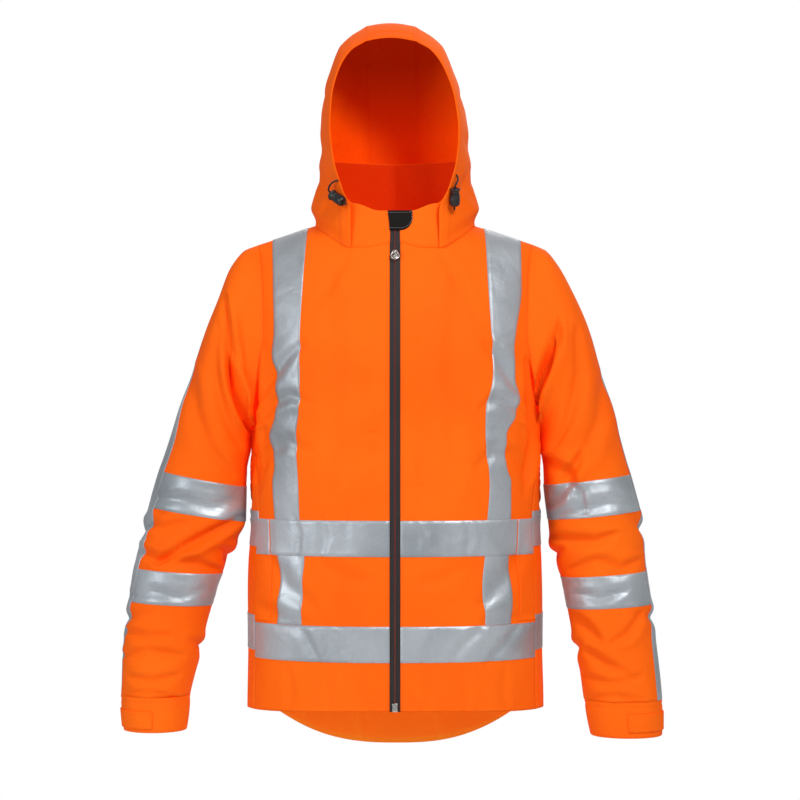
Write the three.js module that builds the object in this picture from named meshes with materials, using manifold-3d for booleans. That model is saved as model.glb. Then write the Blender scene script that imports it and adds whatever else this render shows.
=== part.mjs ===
import * as THREE from 'three';
import { mergeVertices } from 'three/addons/utils/BufferGeometryUtils.js';
import Module from 'manifold-3d';

// Hi-vis work jacket with a three-panel hood, in its worn, hollow form. Millimetres, +Z up.
// The front faces -Y, and the wearer's left arm is at +X. The origin is where the shoulders
// carry the jacket: on the middle plane, at the height of the neck points.

const clothWall = 1.5;
const seamGap = 0.35;
const tapeLay = 0.4;
const tapeWall = 0.7;
const tapeOver = tapeLay + tapeWall + 0.4;
const bodyPower = 2.35;
const sleevePower = 2.2;
const shoulder = { tipX: 200, tipZ: -34, slope: 0.325, frontRoll: 260, backRoll: 115 };
const armhole = { bottomZ: -303, waistX: 187, lowCurve: 0.9, points: 16 };
const zipHalf = 7.5;

// Half width and depths of the body round its middle, at each height.
const bodyTable = [
  { z: 60, half: 212, front: 130, back: 122 },
  { z: -150, half: 211, front: 130, back: 124 },
  { z: -303, half: 209, front: 131, back: 124 },
  { z: -430, half: 208, front: 132, back: 119 },
  { z: -490, half: 211, front: 132, back: 120 },
  { z: -606, half: 213, front: 133, back: 125 },
  { z: -800, half: 215, front: 134, back: 130 },
];
// How far forward of the body's middle the side seam lies.
const sideSeamTable = [
  { z: -303, y: 0 },
  { z: -345, y: -34 },
  { z: -385, y: -54 },
  { z: -430, y: -60 },
  { z: -800, y: -60 },
];
const frontNeck = [
  { x: 0, z: -34 },
  { x: 40, z: -43 },
  { x: 62, z: -43 },
  { x: 90, z: -28 },
  { x: 115, z: -6.4 },
];
const backNeck = [
  { x: 0, z: 8 },
  { x: 60, z: 1 },
  { x: 90, z: -2 },
  { x: 115, z: -6.4 },
];
// Edges of the shoulder braces, from the middle plane.
const braceTable = [
  { z: 0, rightIn: 123, rightOut: 179, leftIn: 125, leftOut: 183 },
  { z: -54, rightIn: 126.5, rightOut: 175.5, leftIn: 129, leftOut: 180 },
  { z: -100, rightIn: 130, rightOut: 173.5, leftIn: 131, leftOut: 180 },
  { z: -161, rightIn: 133, rightOut: 171, leftIn: 135, leftOut: 171 },
  { z: -193, rightIn: 133.5, rightOut: 173.5, leftIn: 138, leftOut: 168 },
  { z: -226, rightIn: 133.5, rightOut: 168, leftIn: 137, leftOut: 171 },
  { z: -249, rightIn: 133.5, rightOut: 166, leftIn: 132, leftOut: 176 },
  { z: -277, rightIn: 135, rightOut: 167, leftIn: 126, leftOut: 171 },
  { z: -309, rightIn: 138, rightOut: 176, leftIn: 125.5, leftOut: 155 },
  { z: -351, rightIn: 136.5, rightOut: 168, leftIn: 130.5, leftOut: 156 },
  { z: -374, rightIn: 135, rightOut: 172, leftIn: 132, leftOut: 163 },
  { z: -426, rightIn: 133, rightOut: 169, leftIn: 129, leftOut: 163 },
  { z: -476, rightIn: 127, rightOut: 165.5, leftIn: 126, leftOut: 161 },
  { z: -517, rightIn: 130, rightOut: 162, leftIn: 122, leftOut: 163.5 },
  { z: -573, rightIn: 131, rightOut: 166, leftIn: 126.5, leftOut: 164 },
  { z: -800, rightIn: 129, rightOut: 168, leftIn: 124, leftOut: 163 },
];
const bands = { upperTop: -426, upperBottom: -476, lowerTop: -573, lowerBottom: -623, backStep: 10 };
const hem = { front: -691, side: -700, tail: -774, tailSide: -712, tailHalf: 214, tailPower: 2.6 };

// Sleeve sections below the armhole: the outer and inner points as seen from the front,
// the half depth, and how far forward the arm's middle has moved.
const sleeveTables = {
  right: [
    { outX: 216, outZ: -41, inX: 210.5, inZ: -309, half: 60, forward: 1 },
    { outX: 237, outZ: -66, inX: 212, inZ: -314, half: 64, forward: 1 },
    { outX: 256, outZ: -113, inX: 213, inZ: -321, half: 68, forward: 0 },
    { outX: 274, outZ: -158, inX: 213.5, inZ: -331, half: 70, forward: -1 },
    { outX: 290, outZ: -208, inX: 214, inZ: -345, half: 71, forward: -2 },
    { outX: 307, outZ: -258, inX: 214.5, inZ: -362, half: 71, forward: -2 },
    { outX: 322, outZ: -305, inX: 215, inZ: -373, half: 71, forward: -3 },
    { outX: 340, outZ: -359, inX: 215.5, inZ: -383, half: 70, forward: -3 },
    { outX: 355, outZ: -411, inX: 217, inZ: -433, half: 68, forward: -4 },
    { outX: 364, outZ: -443, inX: 229, inZ: -458, half: 67, forward: -3 },
    { outX: 370, outZ: -471.5, inX: 240, inZ: -482.5, half: 65, forward: -2 },
    { outX: 376, outZ: -499, inX: 252, inZ: -507, half: 63, forward: 1 },
    { outX: 383, outZ: -546.5, inX: 265, inZ: -552.5, half: 60, forward: 5 },
    { outX: 389, outZ: -590.5, inX: 276, inZ: -595.5, half: 57, forward: 11 },
    { outX: 392, outZ: -635.5, inX: 284, inZ: -638.5, half: 54, forward: 17 },
    { outX: 393, outZ: -680, inX: 294, inZ: -680, half: 51, forward: 23 },
  ],
  left: [
    { outX: 216, outZ: -41, inX: 210.5, inZ: -309, half: 60, forward: 1 },
    { outX: 238, outZ: -66, inX: 212, inZ: -314, half: 64, forward: 1 },
    { outX: 262, outZ: -113, inX: 213, inZ: -321, half: 68, forward: 0 },
    { outX: 279, outZ: -158, inX: 213.5, inZ: -331, half: 70, forward: -1 },
    { outX: 294, outZ: -208, inX: 214, inZ: -345, half: 71, forward: -2 },
    { outX: 310, outZ: -258, inX: 214.5, inZ: -358, half: 71, forward: -2 },
    { outX: 324, outZ: -310, inX: 215, inZ: -368, half: 71, forward: -3 },
    { outX: 340, outZ: -365, inX: 215.5, inZ: -380, half: 70, forward: -3 },
    { outX: 353, outZ: -417, inX: 222, inZ: -430, half: 68, forward: -3 },
    { outX: 358, outZ: -446, inX: 225, inZ: -458, half: 66, forward: -2 },
    { outX: 361, outZ: -474.5, inX: 231, inZ: -485.5, half: 64, forward: 1 },
    { outX: 363, outZ: -503, inX: 241, inZ: -512, half: 62, forward: 5 },
    { outX: 368, outZ: -550.5, inX: 249, inZ: -556.5, half: 59, forward: 10 },
    { outX: 373, outZ: -594.5, inX: 255, inZ: -598.5, half: 57, forward: 16 },
    { outX: 378, outZ: -640.5, inX: 264, inZ: -642.5, half: 54, forward: 22 },
    { outX: 382, outZ: -686, inX: 271, inZ: -686, half: 51, forward: 28 },
  ],
};
const sleeveBandRows = { upperTop: 8, upperBottom: 9, lowerTop: 12, lowerBottom: 13 };
// Front edge of the strip down the sleeve, in degrees forward of the arm's outer line.
const stripTable = [
  { z: -34, right: 0, left: 0 },
  { z: -113, right: -5, left: -4 },
  { z: -208, right: 8, left: 10 },
  { z: -300, right: 36, left: 17 },
  { z: -430, right: 36, left: 18 },
  { z: -500, right: 34, left: 18 },
  { z: -560, right: 30, left: 24 },
  { z: -610, right: 20, left: 34 },
  { z: -690, right: 4, left: 35 },
];
const stripWidth = 50;
const stripMost = 120;
const cuffs = {
  right: { outX: 389, inX: 299, bottomZ: -729, half: 47, forward: 26, tabTop: -699, tabBottom: -724 },
  left: { outX: 382, inX: 280, bottomZ: -736, half: 47, forward: 32, tabTop: -702, tabBottom: -729 },
};

const collar = { topZ: 9, edgeRise: 11, backTopZ: 89, frontX: 62, lean: 4, wall: 1.3, inset: 2.6 };
const hood = { seamX: 36, wall: 1.3, outset: 1.3, lean: -6, swellPower: 0.8, swellFade: 8, crownLift: 5 };
// Front edge of the hood, from the neckline up to the seam of its centre panel.
const rimTable = [
  { x: 63, y: -78, z: -42 },
  { x: 63, y: -84, z: 8 },
  { x: 76, y: -89, z: 42 },
  { x: 87, y: -90, z: 84 },
  { x: 90, y: -87, z: 126 },
  { x: 87, y: -82, z: 168 },
  { x: 76, y: -75, z: 208 },
  { x: 57, y: -68, z: 238 },
  { x: 36, y: -64, z: 251 },
];
// Seam of the centre panel, over the crown and down the back of the head.
const crownTable = [
  { y: -64, z: 251 },
  { y: -38, z: 268 },
  { y: -8, z: 281 },
  { y: 24, z: 285 },
  { y: 52, z: 279 },
  { y: 76, z: 264 },
  { y: 96, z: 238 },
];
const napeTable = [
  { y: 70, z: 6 },
  { y: 92, z: 24 },
  { y: 104, z: 60 },
  { y: 110, z: 105 },
  { y: 112, z: 150 },
  { y: 108, z: 190 },
  { y: 103, z: 215 },
  { y: 96, z: 238 },
];
const hoodWidthTable = [
  { z: -6, half: 115 },
  { z: 17, half: 118 },
  { z: 46, half: 111 },
  { z: 75, half: 105 },
  { z: 120, half: 102 },
  { z: 162, half: 99 },
  { z: 191, half: 94 },
  { z: 227, half: 83 },
  { z: 249, half: 75 },
  { z: 263, half: 68 },
  { z: 274, half: 60 },
  { z: 283, half: 46 },
];

const zipSink = 0.4;
const zipWall = 1.2;
const chinGuard = { left: 10, right: 24, height: 27, straight: 10, wall: 1.1, lift: 0.5 };
const zipSlider = {
  z: -52.5, clear: 0.6, drop: 2, width: 8, height: 15, corner: 2.2, depth: 2.6,
  eye: 3, eyeReach: 2.3, eyeRoot: 0.5, hole: 1.75, crownWidth: 2.8,
};
const zipBox = { width: 8.5, height: 12, corner: 1.5, depth: 2.4 };
const pullRing = { radius: 5.6, wire: 0.95 };
const lockSize = {
  radius: 7.4, length: 17, bore: 2.2, chamfer: 1, foot: 2,
  flange: 8, flangeDepth: 2.4, flangeFoot: 3, buttonRadius: 6.2, buttonLength: 8,
};
// Each lock lies on the side of the hood, and its cord leaves the hood's edge above it.
const cordLocks = {
  right: {
    mouth: [-89, -78, 32],
    end: [-70.5, -95.5, 18],
    cord: [[-80, -90.8, 51], [-86, -88.5, 49.5], [-91.5, -83, 45.5], [-94, -77, 40], [-92.2, -75.5, 35.5],
      [-89, -78, 32], [-79.75, -86.75, 25], [-70.5, -95.5, 18], [-68.4, -97.5, 16.4]],
  },
  left: {
    mouth: [84.5, -87.8, 40],
    end: [84, -78.5, 14],
    cord: [[86.5, -81.5, 60], [88.5, -86, 55.5], [88, -89.5, 50], [85.5, -90, 45], [84.5, -87.8, 40],
      [84.2, -83.2, 27], [84, -78.5, 14], [84, -77.2, 10.4]],
  },
};
const cordDiameter = 2.6;

const orange = new THREE.MeshStandardMaterial({ color: 0xff6a13, roughness: 0.8, metalness: 0 });
const silver = new THREE.MeshStandardMaterial({ color: 0xb9bdc1, roughness: 0.45, metalness: 0.2 });
const blackCloth = new THREE.MeshStandardMaterial({ color: 0x1d1d20, roughness: 0.6, metalness: 0 });
const blackPlastic = new THREE.MeshStandardMaterial({ color: 0x232326, roughness: 0.4, metalness: 0 });
const steel = new THREE.MeshStandardMaterial({ color: 0xa9abad, roughness: 0.3, metalness: 1 });

const jacket = new THREE.Group();

function lerp(a, b, t) {
  return a + (b - a) * t;
}

function smooth(t) {
  const s = Math.min(1, Math.max(0, t));
  return s * s * (3 - 2 * s);
}

// Value of a named column, read off a table whose key column rises or falls.
function read(table, key, at, column) {
  const rising = table[table.length - 1][key] > table[0][key];
  const rows = rising ? table : [...table].reverse();
  if (at <= rows[0][key]) return rows[0][column];
  for (let i = 1; i < rows.length; i += 1) {
    if (at <= rows[i][key]) {
      const t = (at - rows[i - 1][key]) / (rows[i][key] - rows[i - 1][key]);
      return lerp(rows[i - 1][column], rows[i][column], t);
    }
  }
  return rows[rows.length - 1][column];
}

function shoulderZ(x) {
  return shoulder.tipZ + (shoulder.tipX - Math.abs(x)) * shoulder.slope;
}

// The body swells from nothing at the shoulder line to its full depth below it.
function shoulderFill(x, z, face) {
  const reach = face < 0 ? shoulder.frontRoll : shoulder.backRoll;
  const drop = Math.min(1, Math.max(0, (shoulderZ(x) - z) / reach));
  return Math.sqrt(1 - (1 - drop) ** 2);
}

function fullDepth(x, z, face) {
  return read(bodyTable, 'z', z, face < 0 ? 'front' : 'back') * shoulderFill(x, z, face);
}

// Depth of the body's surface, on its front (face -1) or back (face 1).
function bodyY(x, z, face) {
  const half = read(bodyTable, 'z', z, 'half');
  const share = Math.max(0, 1 - (Math.abs(x) / half) ** bodyPower);
  return face * fullDepth(x, z, face) * share ** (1 / bodyPower);
}

// Width of the body's surface at a given depth.
function bodyX(y, z) {
  const face = y < 0 ? -1 : 1;
  const half = read(bodyTable, 'z', z, 'half');
  const share = Math.max(0, 1 - (Math.abs(y) / fullDepth(armhole.waistX, z, face)) ** bodyPower);
  return half * share ** (1 / bodyPower);
}

// Armhole edge. Degrees run from the shoulder tip: forwards to the underarm, or backwards.
function armholePoint(degrees) {
  const face = degrees >= 0 ? -1 : 1;
  const turn = Math.abs(degrees);
  const middle = (shoulder.tipZ + armhole.bottomZ) / 2;
  const rise = (shoulder.tipZ - armhole.bottomZ) / 2;
  const z = middle + rise * Math.cos(THREE.MathUtils.degToRad(turn));
  if (turn <= 90) {
    const x = lerp(armhole.waistX, shoulder.tipX, (1 - turn / 90) ** 2);
    return new THREE.Vector3(x, turn === 0 ? 0 : bodyY(x, z, face), z);
  }
  const waistY = bodyY(armhole.waistX, middle, face);
  const y = waistY * Math.sin(THREE.MathUtils.degToRad(turn)) ** armhole.lowCurve;
  return new THREE.Vector3(turn === 180 ? bodyX(0, z) : bodyX(y, z), turn === 180 ? 0 : y, z);
}

const armholeStep = 360 / armhole.points;
const armholeRows = armhole.points / 2;
const armholeRise = (shoulder.tipZ - armhole.bottomZ) / 2;

// A grid holds rows of points with the outward normal at each point.
function makeGrid(points, inside, wrap = false) {
  const rows = points.length;
  const cols = points[0].length;
  const normals = points.map((row) => row.map(() => new THREE.Vector3()));
  const lastCol = wrap ? cols : cols - 1;
  for (let r = 0; r < rows - 1; r += 1) {
    for (let c = 0; c < lastCol; c += 1) {
      const d = (c + 1) % cols;
      const across = points[r + 1][d].clone().sub(points[r][c]);
      const along = points[r + 1][c].clone().sub(points[r][d]);
      const normal = across.cross(along);
      for (const [i, j] of [[r, c], [r, d], [r + 1, c], [r + 1, d]]) normals[i][j].add(normal);
    }
  }
  const middle = [Math.floor(rows / 2), Math.floor(cols / 4)];
  const outward = points[middle[0]][middle[1]].clone().sub(inside);
  const flip = normals[middle[0]][middle[1]].dot(outward) < 0;
  for (const row of normals) {
    for (const normal of row) normal.normalize().multiplyScalar(flip ? -1 : 1);
  }
  return { points, normals, wrap, flip };
}

// Gives neighbouring grids one normal where they meet, unless the cloth folds back there.
function shareNormals(first, second) {
  first.points.forEach((row, r) => row.forEach((point, c) => {
    second.points.forEach((otherRow, i) => otherRow.forEach((other, j) => {
      const mine = first.normals[r][c];
      const theirs = second.normals[i][j];
      if (point.distanceTo(other) > 0.01 || mine.dot(theirs) < 0.1) return;
      mine.add(theirs).normalize();
      theirs.copy(mine);
    }));
  }));
}

function subGrid(grid, firstRow, lastRow, firstCol, lastCol) {
  const cut = (rows) => rows.slice(firstRow, lastRow + 1).map((row) => row.slice(firstCol, lastCol + 1));
  return { points: cut(grid.points), normals: cut(grid.normals), wrap: false, flip: grid.flip };
}

// Columns of a wrapped grid, counted on past its last one.
function wrapGrid(grid, firstRow, lastRow, columns) {
  const pick = (rows) => rows.slice(firstRow, lastRow + 1).map((row) => columns.map(
    (c) => row[(c + row.length) % row.length],
  ));
  return { points: pick(grid.points), normals: pick(grid.normals), wrap: false, flip: grid.flip };
}

// Pulls the borders of a grid in by the gap of a seam.
function trimGrid(grid, sides, gap = seamGap) {
  const points = grid.points.map((row) => row.map((point) => point.clone()));
  const rows = points.length;
  const cols = points[0].length;
  const pull = (r, c, toRow, toCol) => {
    const step = grid.points[toRow][toCol].clone().sub(grid.points[r][c]).setLength(gap);
    points[r][c].add(step);
  };
  for (let c = 0; c < cols; c += 1) {
    if (sides.includes('top')) pull(0, c, 1, c);
    if (sides.includes('bottom')) pull(rows - 1, c, rows - 2, c);
  }
  for (let r = 0; r < rows; r += 1) {
    if (sides.includes('first')) pull(r, 0, r, 1);
    if (sides.includes('last')) pull(r, cols - 1, r, cols - 2);
  }
  return { ...grid, points };
}

// Closed wall between two distances from a grid. A distance is a number, or a function of
// the row and the column.
function wallGeometry(grid, inner, outer) {
  const rows = grid.points.length;
  const cols = grid.points[0].length;
  const reach = (distance, r, c) => (typeof distance === 'function' ? distance(r, c) : distance);
  const positions = [];
  for (const distance of [outer, inner]) {
    for (let r = 0; r < rows; r += 1) {
      for (let c = 0; c < cols; c += 1) {
        const point = grid.points[r][c].clone().addScaledVector(grid.normals[r][c], reach(distance, r, c));
        positions.push(point.x, point.y, point.z);
      }
    }
  }
  const layer = rows * cols;
  const at = (r, c, side) => side * layer + r * cols + (c % cols);
  const index = [];
  const quad = (a, b, c, d) => {
    if (grid.flip) index.push(a, b, c, a, c, d);
    else index.push(a, c, b, a, d, c);
  };
  const lastCol = grid.wrap ? cols : cols - 1;
  for (let r = 0; r < rows - 1; r += 1) {
    for (let c = 0; c < lastCol; c += 1) {
      quad(at(r, c, 0), at(r + 1, c, 0), at(r + 1, c + 1, 0), at(r, c + 1, 0));
      quad(at(r, c, 1), at(r, c + 1, 1), at(r + 1, c + 1, 1), at(r + 1, c, 1));
    }
  }
  for (let c = 0; c < lastCol; c += 1) {
    quad(at(0, c, 0), at(0, c + 1, 0), at(0, c + 1, 1), at(0, c, 1));
    quad(at(rows - 1, c + 1, 0), at(rows - 1, c, 0), at(rows - 1, c, 1), at(rows - 1, c + 1, 1));
  }
  for (let r = 0; !grid.wrap && r < rows - 1; r += 1) {
    quad(at(r + 1, 0, 0), at(r, 0, 0), at(r, 0, 1), at(r + 1, 0, 1));
    quad(at(r, cols - 1, 0), at(r + 1, cols - 1, 0), at(r + 1, cols - 1, 1), at(r, cols - 1, 1));
  }
  const geometry = new THREE.BufferGeometry();
  geometry.setAttribute('position', new THREE.Float32BufferAttribute(positions, 3));
  geometry.setIndex(index);
  geometry.computeVertexNormals();
  return geometry;
}

function add(name, geometry, material) {
  const mesh = new THREE.Mesh(geometry, material.clone());
  mesh.name = name;
  jacket.add(mesh);
  return mesh;
}

function addPanel(name, grid, material = orange, wall = clothWall) {
  add(name, wallGeometry(grid, -wall, 0), material);
}

function addTape(name, grid, over = () => false) {
  const lay = (r, c) => (over(r, c) ? tapeOver : tapeLay);
  add(name, wallGeometry(grid, lay, (r, c) => lay(r, c) + tapeWall), silver);
}

function mirror(point, side) {
  return new THREE.Vector3(point.x * side, point.y, point.z);
}

function sideSeamPoint(z) {
  const y = read(sideSeamTable, 'z', z, 'y');
  return new THREE.Vector3(bodyX(y, z), y, z);
}

// Heights of a panel's rows at the side seam, below the armhole.
function lowerRows(step, last) {
  return [-345, -385, bands.upperTop + step, bands.upperBottom + step, -525 + step,
    bands.lowerTop + step, bands.lowerBottom + step, -662, last];
}

// Height of a point on a row: it follows the neckline and shoulder at the top, and is level
// from the middle of the armhole down.
function rowHeight(edge, topZ) {
  const share = smooth((shoulder.tipZ - edge.z) / armholeRise);
  return lerp(topZ + (edge.z - shoulder.tipZ), edge.z, share);
}

// ---- front panels

const neckHalf = 115;
const columnSettle = 150;
const frontColumns = {
  neck: [zipHalf, 40, collar.frontX, 90, neckHalf],
  low: [zipHalf, 40, 72, 100, 118],
};
const backColumns = { neck: [neckHalf, 60, 0], low: [92, 46, 0] };
const lastFrontColumn = 0.33;

function frontRow(row, side) {
  const name = side < 0 ? 'right' : 'left';
  const below = lowerRows(0, hem.side);
  const onArmhole = row <= armholeRows;
  const edge = onArmhole ? armholePoint(row * armholeStep) : sideSeamPoint(below[row - armholeRows - 1]);
  const share = smooth((shoulder.tipZ - edge.z) / columnSettle);
  const braceIn = read(braceTable, 'z', edge.z, `${name}In`);
  const braceOut = read(braceTable, 'z', edge.z, `${name}Out`);
  const xs = frontColumns.neck.map((x, i) => lerp(x, frontColumns.low[i], share));
  xs.push(braceIn, (braceIn + braceOut) / 2, braceOut, lerp(braceOut, edge.x, lastFrontColumn));
  const points = xs.map((x) => {
    const topZ = x > neckHalf ? shoulderZ(x) : read(frontNeck, 'x', x, 'z');
    let z = rowHeight(edge, topZ);
    if (row === armholeRows + below.length) z = lerp(hem.front, hem.side, (x / edge.x) ** 2);
    const y = row === 0 && x > neckHalf ? 0 : bodyY(x, z, -1);
    return new THREE.Vector3(x, y, z);
  });
  points.push(edge.clone());
  return points.map((point) => mirror(point, side));
}

const frontRowCount = armholeRows + 9;
const frontBraceCols = [5, 7];
const weltCols = [8, 9];
const frontUpper = [armholeRows + 3, armholeRows + 4];
const frontLower = [armholeRows + 6, armholeRows + 7];

function frontGrid(side) {
  const points = [];
  for (let row = 0; row <= frontRowCount; row += 1) points.push(frontRow(row, side));
  return makeGrid(points, new THREE.Vector3(side * 100, 0, -350));
}

function buildFront(grid, name) {
  addPanel(`front_${name}`, trimGrid(grid, ['top', 'last']));
  const brace = subGrid(grid, 0, frontLower[0], frontBraceCols[0], frontBraceCols[1]);
  addTape(`brace_front_${name}`, trimGrid(brace, ['top', 'bottom'], 0.6));
  const upper = subGrid(grid, frontUpper[0], frontUpper[1], 0, weltCols[0]);
  addTape(`band_upper_front_${name}`, trimGrid(upper, ['last']), (r, c) => c >= 5 && c <= 7);
  const lower = subGrid(grid, frontLower[0], frontLower[1], 0, weltCols[1]);
  addTape(`band_lower_front_${name}`, trimGrid(lower, ['last']));
  const welt = subGrid(grid, frontUpper[0], frontLower[0], weltCols[0], weltCols[1]);
  const weltGrid = trimGrid(trimGrid(welt, ['last']), ['bottom'], 6);
  add(`pocket_welt_${name}`, wallGeometry(weltGrid, tapeLay, tapeLay + 1), orange);
  const weltTape = trimGrid(subGrid(welt, 0, 1, 0, 1), ['last', 'first']);
  const weltTapeLay = tapeLay + 1 + 0.4;
  add(`welt_tape_${name}`, wallGeometry(weltTape, weltTapeLay, weltTapeLay + tapeWall), silver);
}

// ---- back panel, from the right side seam round the back to the left one

const backBraceIn = 6;
const backBraceOut = 4;
const backHalfCols = 9;

function backHalfRow(row, side) {
  const name = side < 0 ? 'right' : 'left';
  const below = lowerRows(bands.backStep, hem.side);
  const onArmhole = row <= armholeRows;
  const edge = onArmhole ? armholePoint(-row * armholeStep) : sideSeamPoint(below[row - armholeRows - 1]);
  if (row === armholeRows) edge.y = 0;
  const braceIn = read(braceTable, 'z', edge.z, `${name}In`);
  const braceOut = read(braceTable, 'z', edge.z, `${name}Out`);
  const half = read(bodyTable, 'z', edge.z, 'half');
  const points = [edge];
  if (onArmhole) {
    for (const t of [0.25, 0.5, 0.75]) points.push(lerp(edge.x, braceOut, t));
  } else {
    points.push(new THREE.Vector3(lerp(edge.x, half, 0.75), edge.y / 2, edge.z));
    points.push(new THREE.Vector3(half, 0, edge.z));
    points.push(lerp(half, braceOut, 0.45));
  }
  const share = smooth((shoulder.tipZ - edge.z) / columnSettle);
  const inner = backColumns.neck.map((x, i) => lerp(x, backColumns.low[i], share));
  points.push(braceOut, (braceIn + braceOut) / 2, braceIn, ...inner);
  return points.map((point) => {
    if (typeof point !== 'number') {
      if (point.y < 0 && point !== edge) point.x = bodyX(point.y, point.z);
      if (row === armholeRows + below.length && point.y >= 0) point.z = tailZ(point.x);
      return mirror(point, side);
    }
    const topZ = point > neckHalf ? shoulderZ(point) : read(backNeck, 'x', point, 'z');
    let z = rowHeight(edge, topZ);
    if (row === armholeRows + below.length) z = tailZ(point);
    const y = row === 0 && point > neckHalf ? 0 : bodyY(point, z, 1);
    return mirror(new THREE.Vector3(point, y, z), side);
  });
}

// The tail of the back falls from the side seams to the middle.
function tailZ(x) {
  return lerp(hem.tail, hem.tailSide, (Math.abs(x) / hem.tailHalf) ** hem.tailPower);
}

function backGrid() {
  const points = [];
  for (let row = 0; row <= frontRowCount; row += 1) {
    const right = backHalfRow(row, -1);
    const left = backHalfRow(row, 1).slice(0, -1).reverse();
    points.push([...right, ...left]);
  }
  return makeGrid(points, new THREE.Vector3(0, -40, -350));
}

function buildBack(grid) {
  const last = backHalfCols * 2;
  addPanel('back', trimGrid(grid, ['top', 'first', 'last']));
  const braces = { right: [backBraceOut, backBraceIn], left: [last - backBraceIn, last - backBraceOut] };
  for (const [name, cols] of Object.entries(braces)) {
    const brace = subGrid(grid, 0, frontLower[0], cols[0], cols[1]);
    addTape(`brace_back_${name}`, trimGrid(brace, ['top', 'bottom'], 0.6));
  }
  const overBrace = (r, c) => Object.values(braces).some(([from, to]) => c >= from && c <= to);
  const upper = subGrid(grid, frontUpper[0], frontUpper[1], 0, last);
  addTape('band_upper_back', trimGrid(upper, ['first', 'last']), overBrace);
  const lower = subGrid(grid, frontLower[0], frontLower[1], 0, last);
  addTape('band_lower_back', trimGrid(lower, ['first', 'last']));
}

// ---- sleeves, cuffs and their tapes

function roundedPoint(section, degrees) {
  const angle = THREE.MathUtils.degToRad(degrees);
  const along = Math.sign(Math.cos(angle)) * Math.abs(Math.cos(angle)) ** (2 / sleevePower);
  const deep = Math.sign(Math.sin(angle)) * Math.abs(Math.sin(angle)) ** (2 / sleevePower);
  const t = (1 + along) / 2;
  const y = -section.forward - section.half * deep;
  return new THREE.Vector3(lerp(section.inX, section.outX, t), y, lerp(section.inZ, section.outZ, t));
}

// Degrees of a section that the strip takes, going back from its front edge.
function stripTurn(section, edge) {
  let length = 0;
  let turn = 0;
  while (length < stripWidth && turn < stripMost) {
    const from = roundedPoint(section, edge - turn);
    length += from.distanceTo(roundedPoint(section, edge - turn - 1));
    turn += 1;
  }
  return turn;
}

// Columns round a sleeve: 14 and 0 are the edges of its strip, 15 is the strip's middle.
function ringAngles(name, section) {
  const edge = read(stripTable, 'z', section.outZ, name);
  const width = stripTurn(section, edge);
  const step = (360 - width) / 14;
  const angles = [];
  for (let i = 0; i < 15; i += 1) angles.push(edge + i * step);
  angles.push(edge - width / 2);
  return angles;
}

function sleeveRing(name, section, side) {
  return ringAngles(name, section).map((degrees) => mirror(roundedPoint(section, degrees), side));
}

function armholeRing(side) {
  const ring = [];
  for (let i = 0; i < armhole.points; i += 1) {
    const degrees = i <= armholeRows ? i * armholeStep : (i - armhole.points) * armholeStep;
    ring.push(mirror(armholePoint(degrees), side));
  }
  return ring;
}

function sleeveGrid(side) {
  const name = side < 0 ? 'right' : 'left';
  const rings = sleeveTables[name].map((section) => sleeveRing(name, section, side));
  return makeGrid([armholeRing(side), ...rings], new THREE.Vector3(side * 290, 0, -380), true);
}

function buildSleeve(grid, name, side) {
  const sections = sleeveTables[name];
  addPanel(`sleeve_${name}`, trimGrid(grid, ['top'], 0.8));
  const rows = sleeveBandRows;
  const whole = { ...grid };
  const band = (first, last) => ({
    ...whole, points: grid.points.slice(first, last + 1), normals: grid.normals.slice(first, last + 1),
  });
  addTape(`sleeve_band_upper_${name}`, band(rows.upperTop, rows.upperBottom));
  addTape(`sleeve_band_lower_${name}`, band(rows.lowerTop, rows.lowerBottom));
  const strip = wrapGrid(grid, 1, sections.length, [-2, -1, 0]);
  const crossing = [rows.upperTop, rows.upperBottom, rows.lowerTop, rows.lowerBottom];
  addTape(`sleeve_strip_${name}`, trimGrid(strip, ['bottom'], 0.5), (r) => crossing.includes(r + 1));
  buildCuff(name, side, sections[sections.length - 1]);
}

function buildCuff(name, side, seam) {
  const cuff = cuffs[name];
  const section = (z) => {
    const t = (z - seam.outZ) / (cuff.bottomZ - seam.outZ);
    const mixed = { outZ: z, inZ: z };
    for (const key of ['outX', 'inX', 'half', 'forward']) mixed[key] = lerp(seam[key], cuff[key], t);
    return mixed;
  };
  const heights = [seam.outZ - seamGap, cuff.tabTop, cuff.tabBottom, cuff.bottomZ];
  const angles = Array.from({ length: armhole.points }, (_, i) => i * armholeStep);
  const points = heights.map((z) => angles.map(
    (degrees) => mirror(roundedPoint(section(z), degrees), side),
  ));
  const grid = makeGrid(points, new THREE.Vector3(side * 335, -25, -715), true);
  addPanel(`cuff_${name}`, grid);
  const tab = wrapGrid(grid, 1, 2, [-4, -3, -2, -1, 0, 1, 2, 3, 4]);
  add(`cuff_tab_${name}`, wallGeometry(tab, tapeLay, tapeLay + 1.6), orange);
}

// The shoulder seam is a ridge: both panels stand square to it there.
function squareShoulder(grid) {
  grid.points[0].forEach((point, c) => {
    if (point.y === 0) grid.normals[0][c].set(Math.sign(point.x) * shoulder.slope, 0, 1).normalize();
  });
}

// The body and sleeves are laid out together, so that they share their seams.
const back = backGrid();
for (const side of [-1, 1]) {
  const name = side < 0 ? 'right' : 'left';
  const front = frontGrid(side);
  const sleeve = sleeveGrid(side);
  shareNormals(front, back);
  shareNormals(front, sleeve);
  shareNormals(back, sleeve);
  shareNormals(front, back);
  squareShoulder(front);
  squareShoulder(back);
  buildFront(front, name);
  buildSleeve(sleeve, name, side);
}
buildBack(back);

// ---- collar and hood

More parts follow.
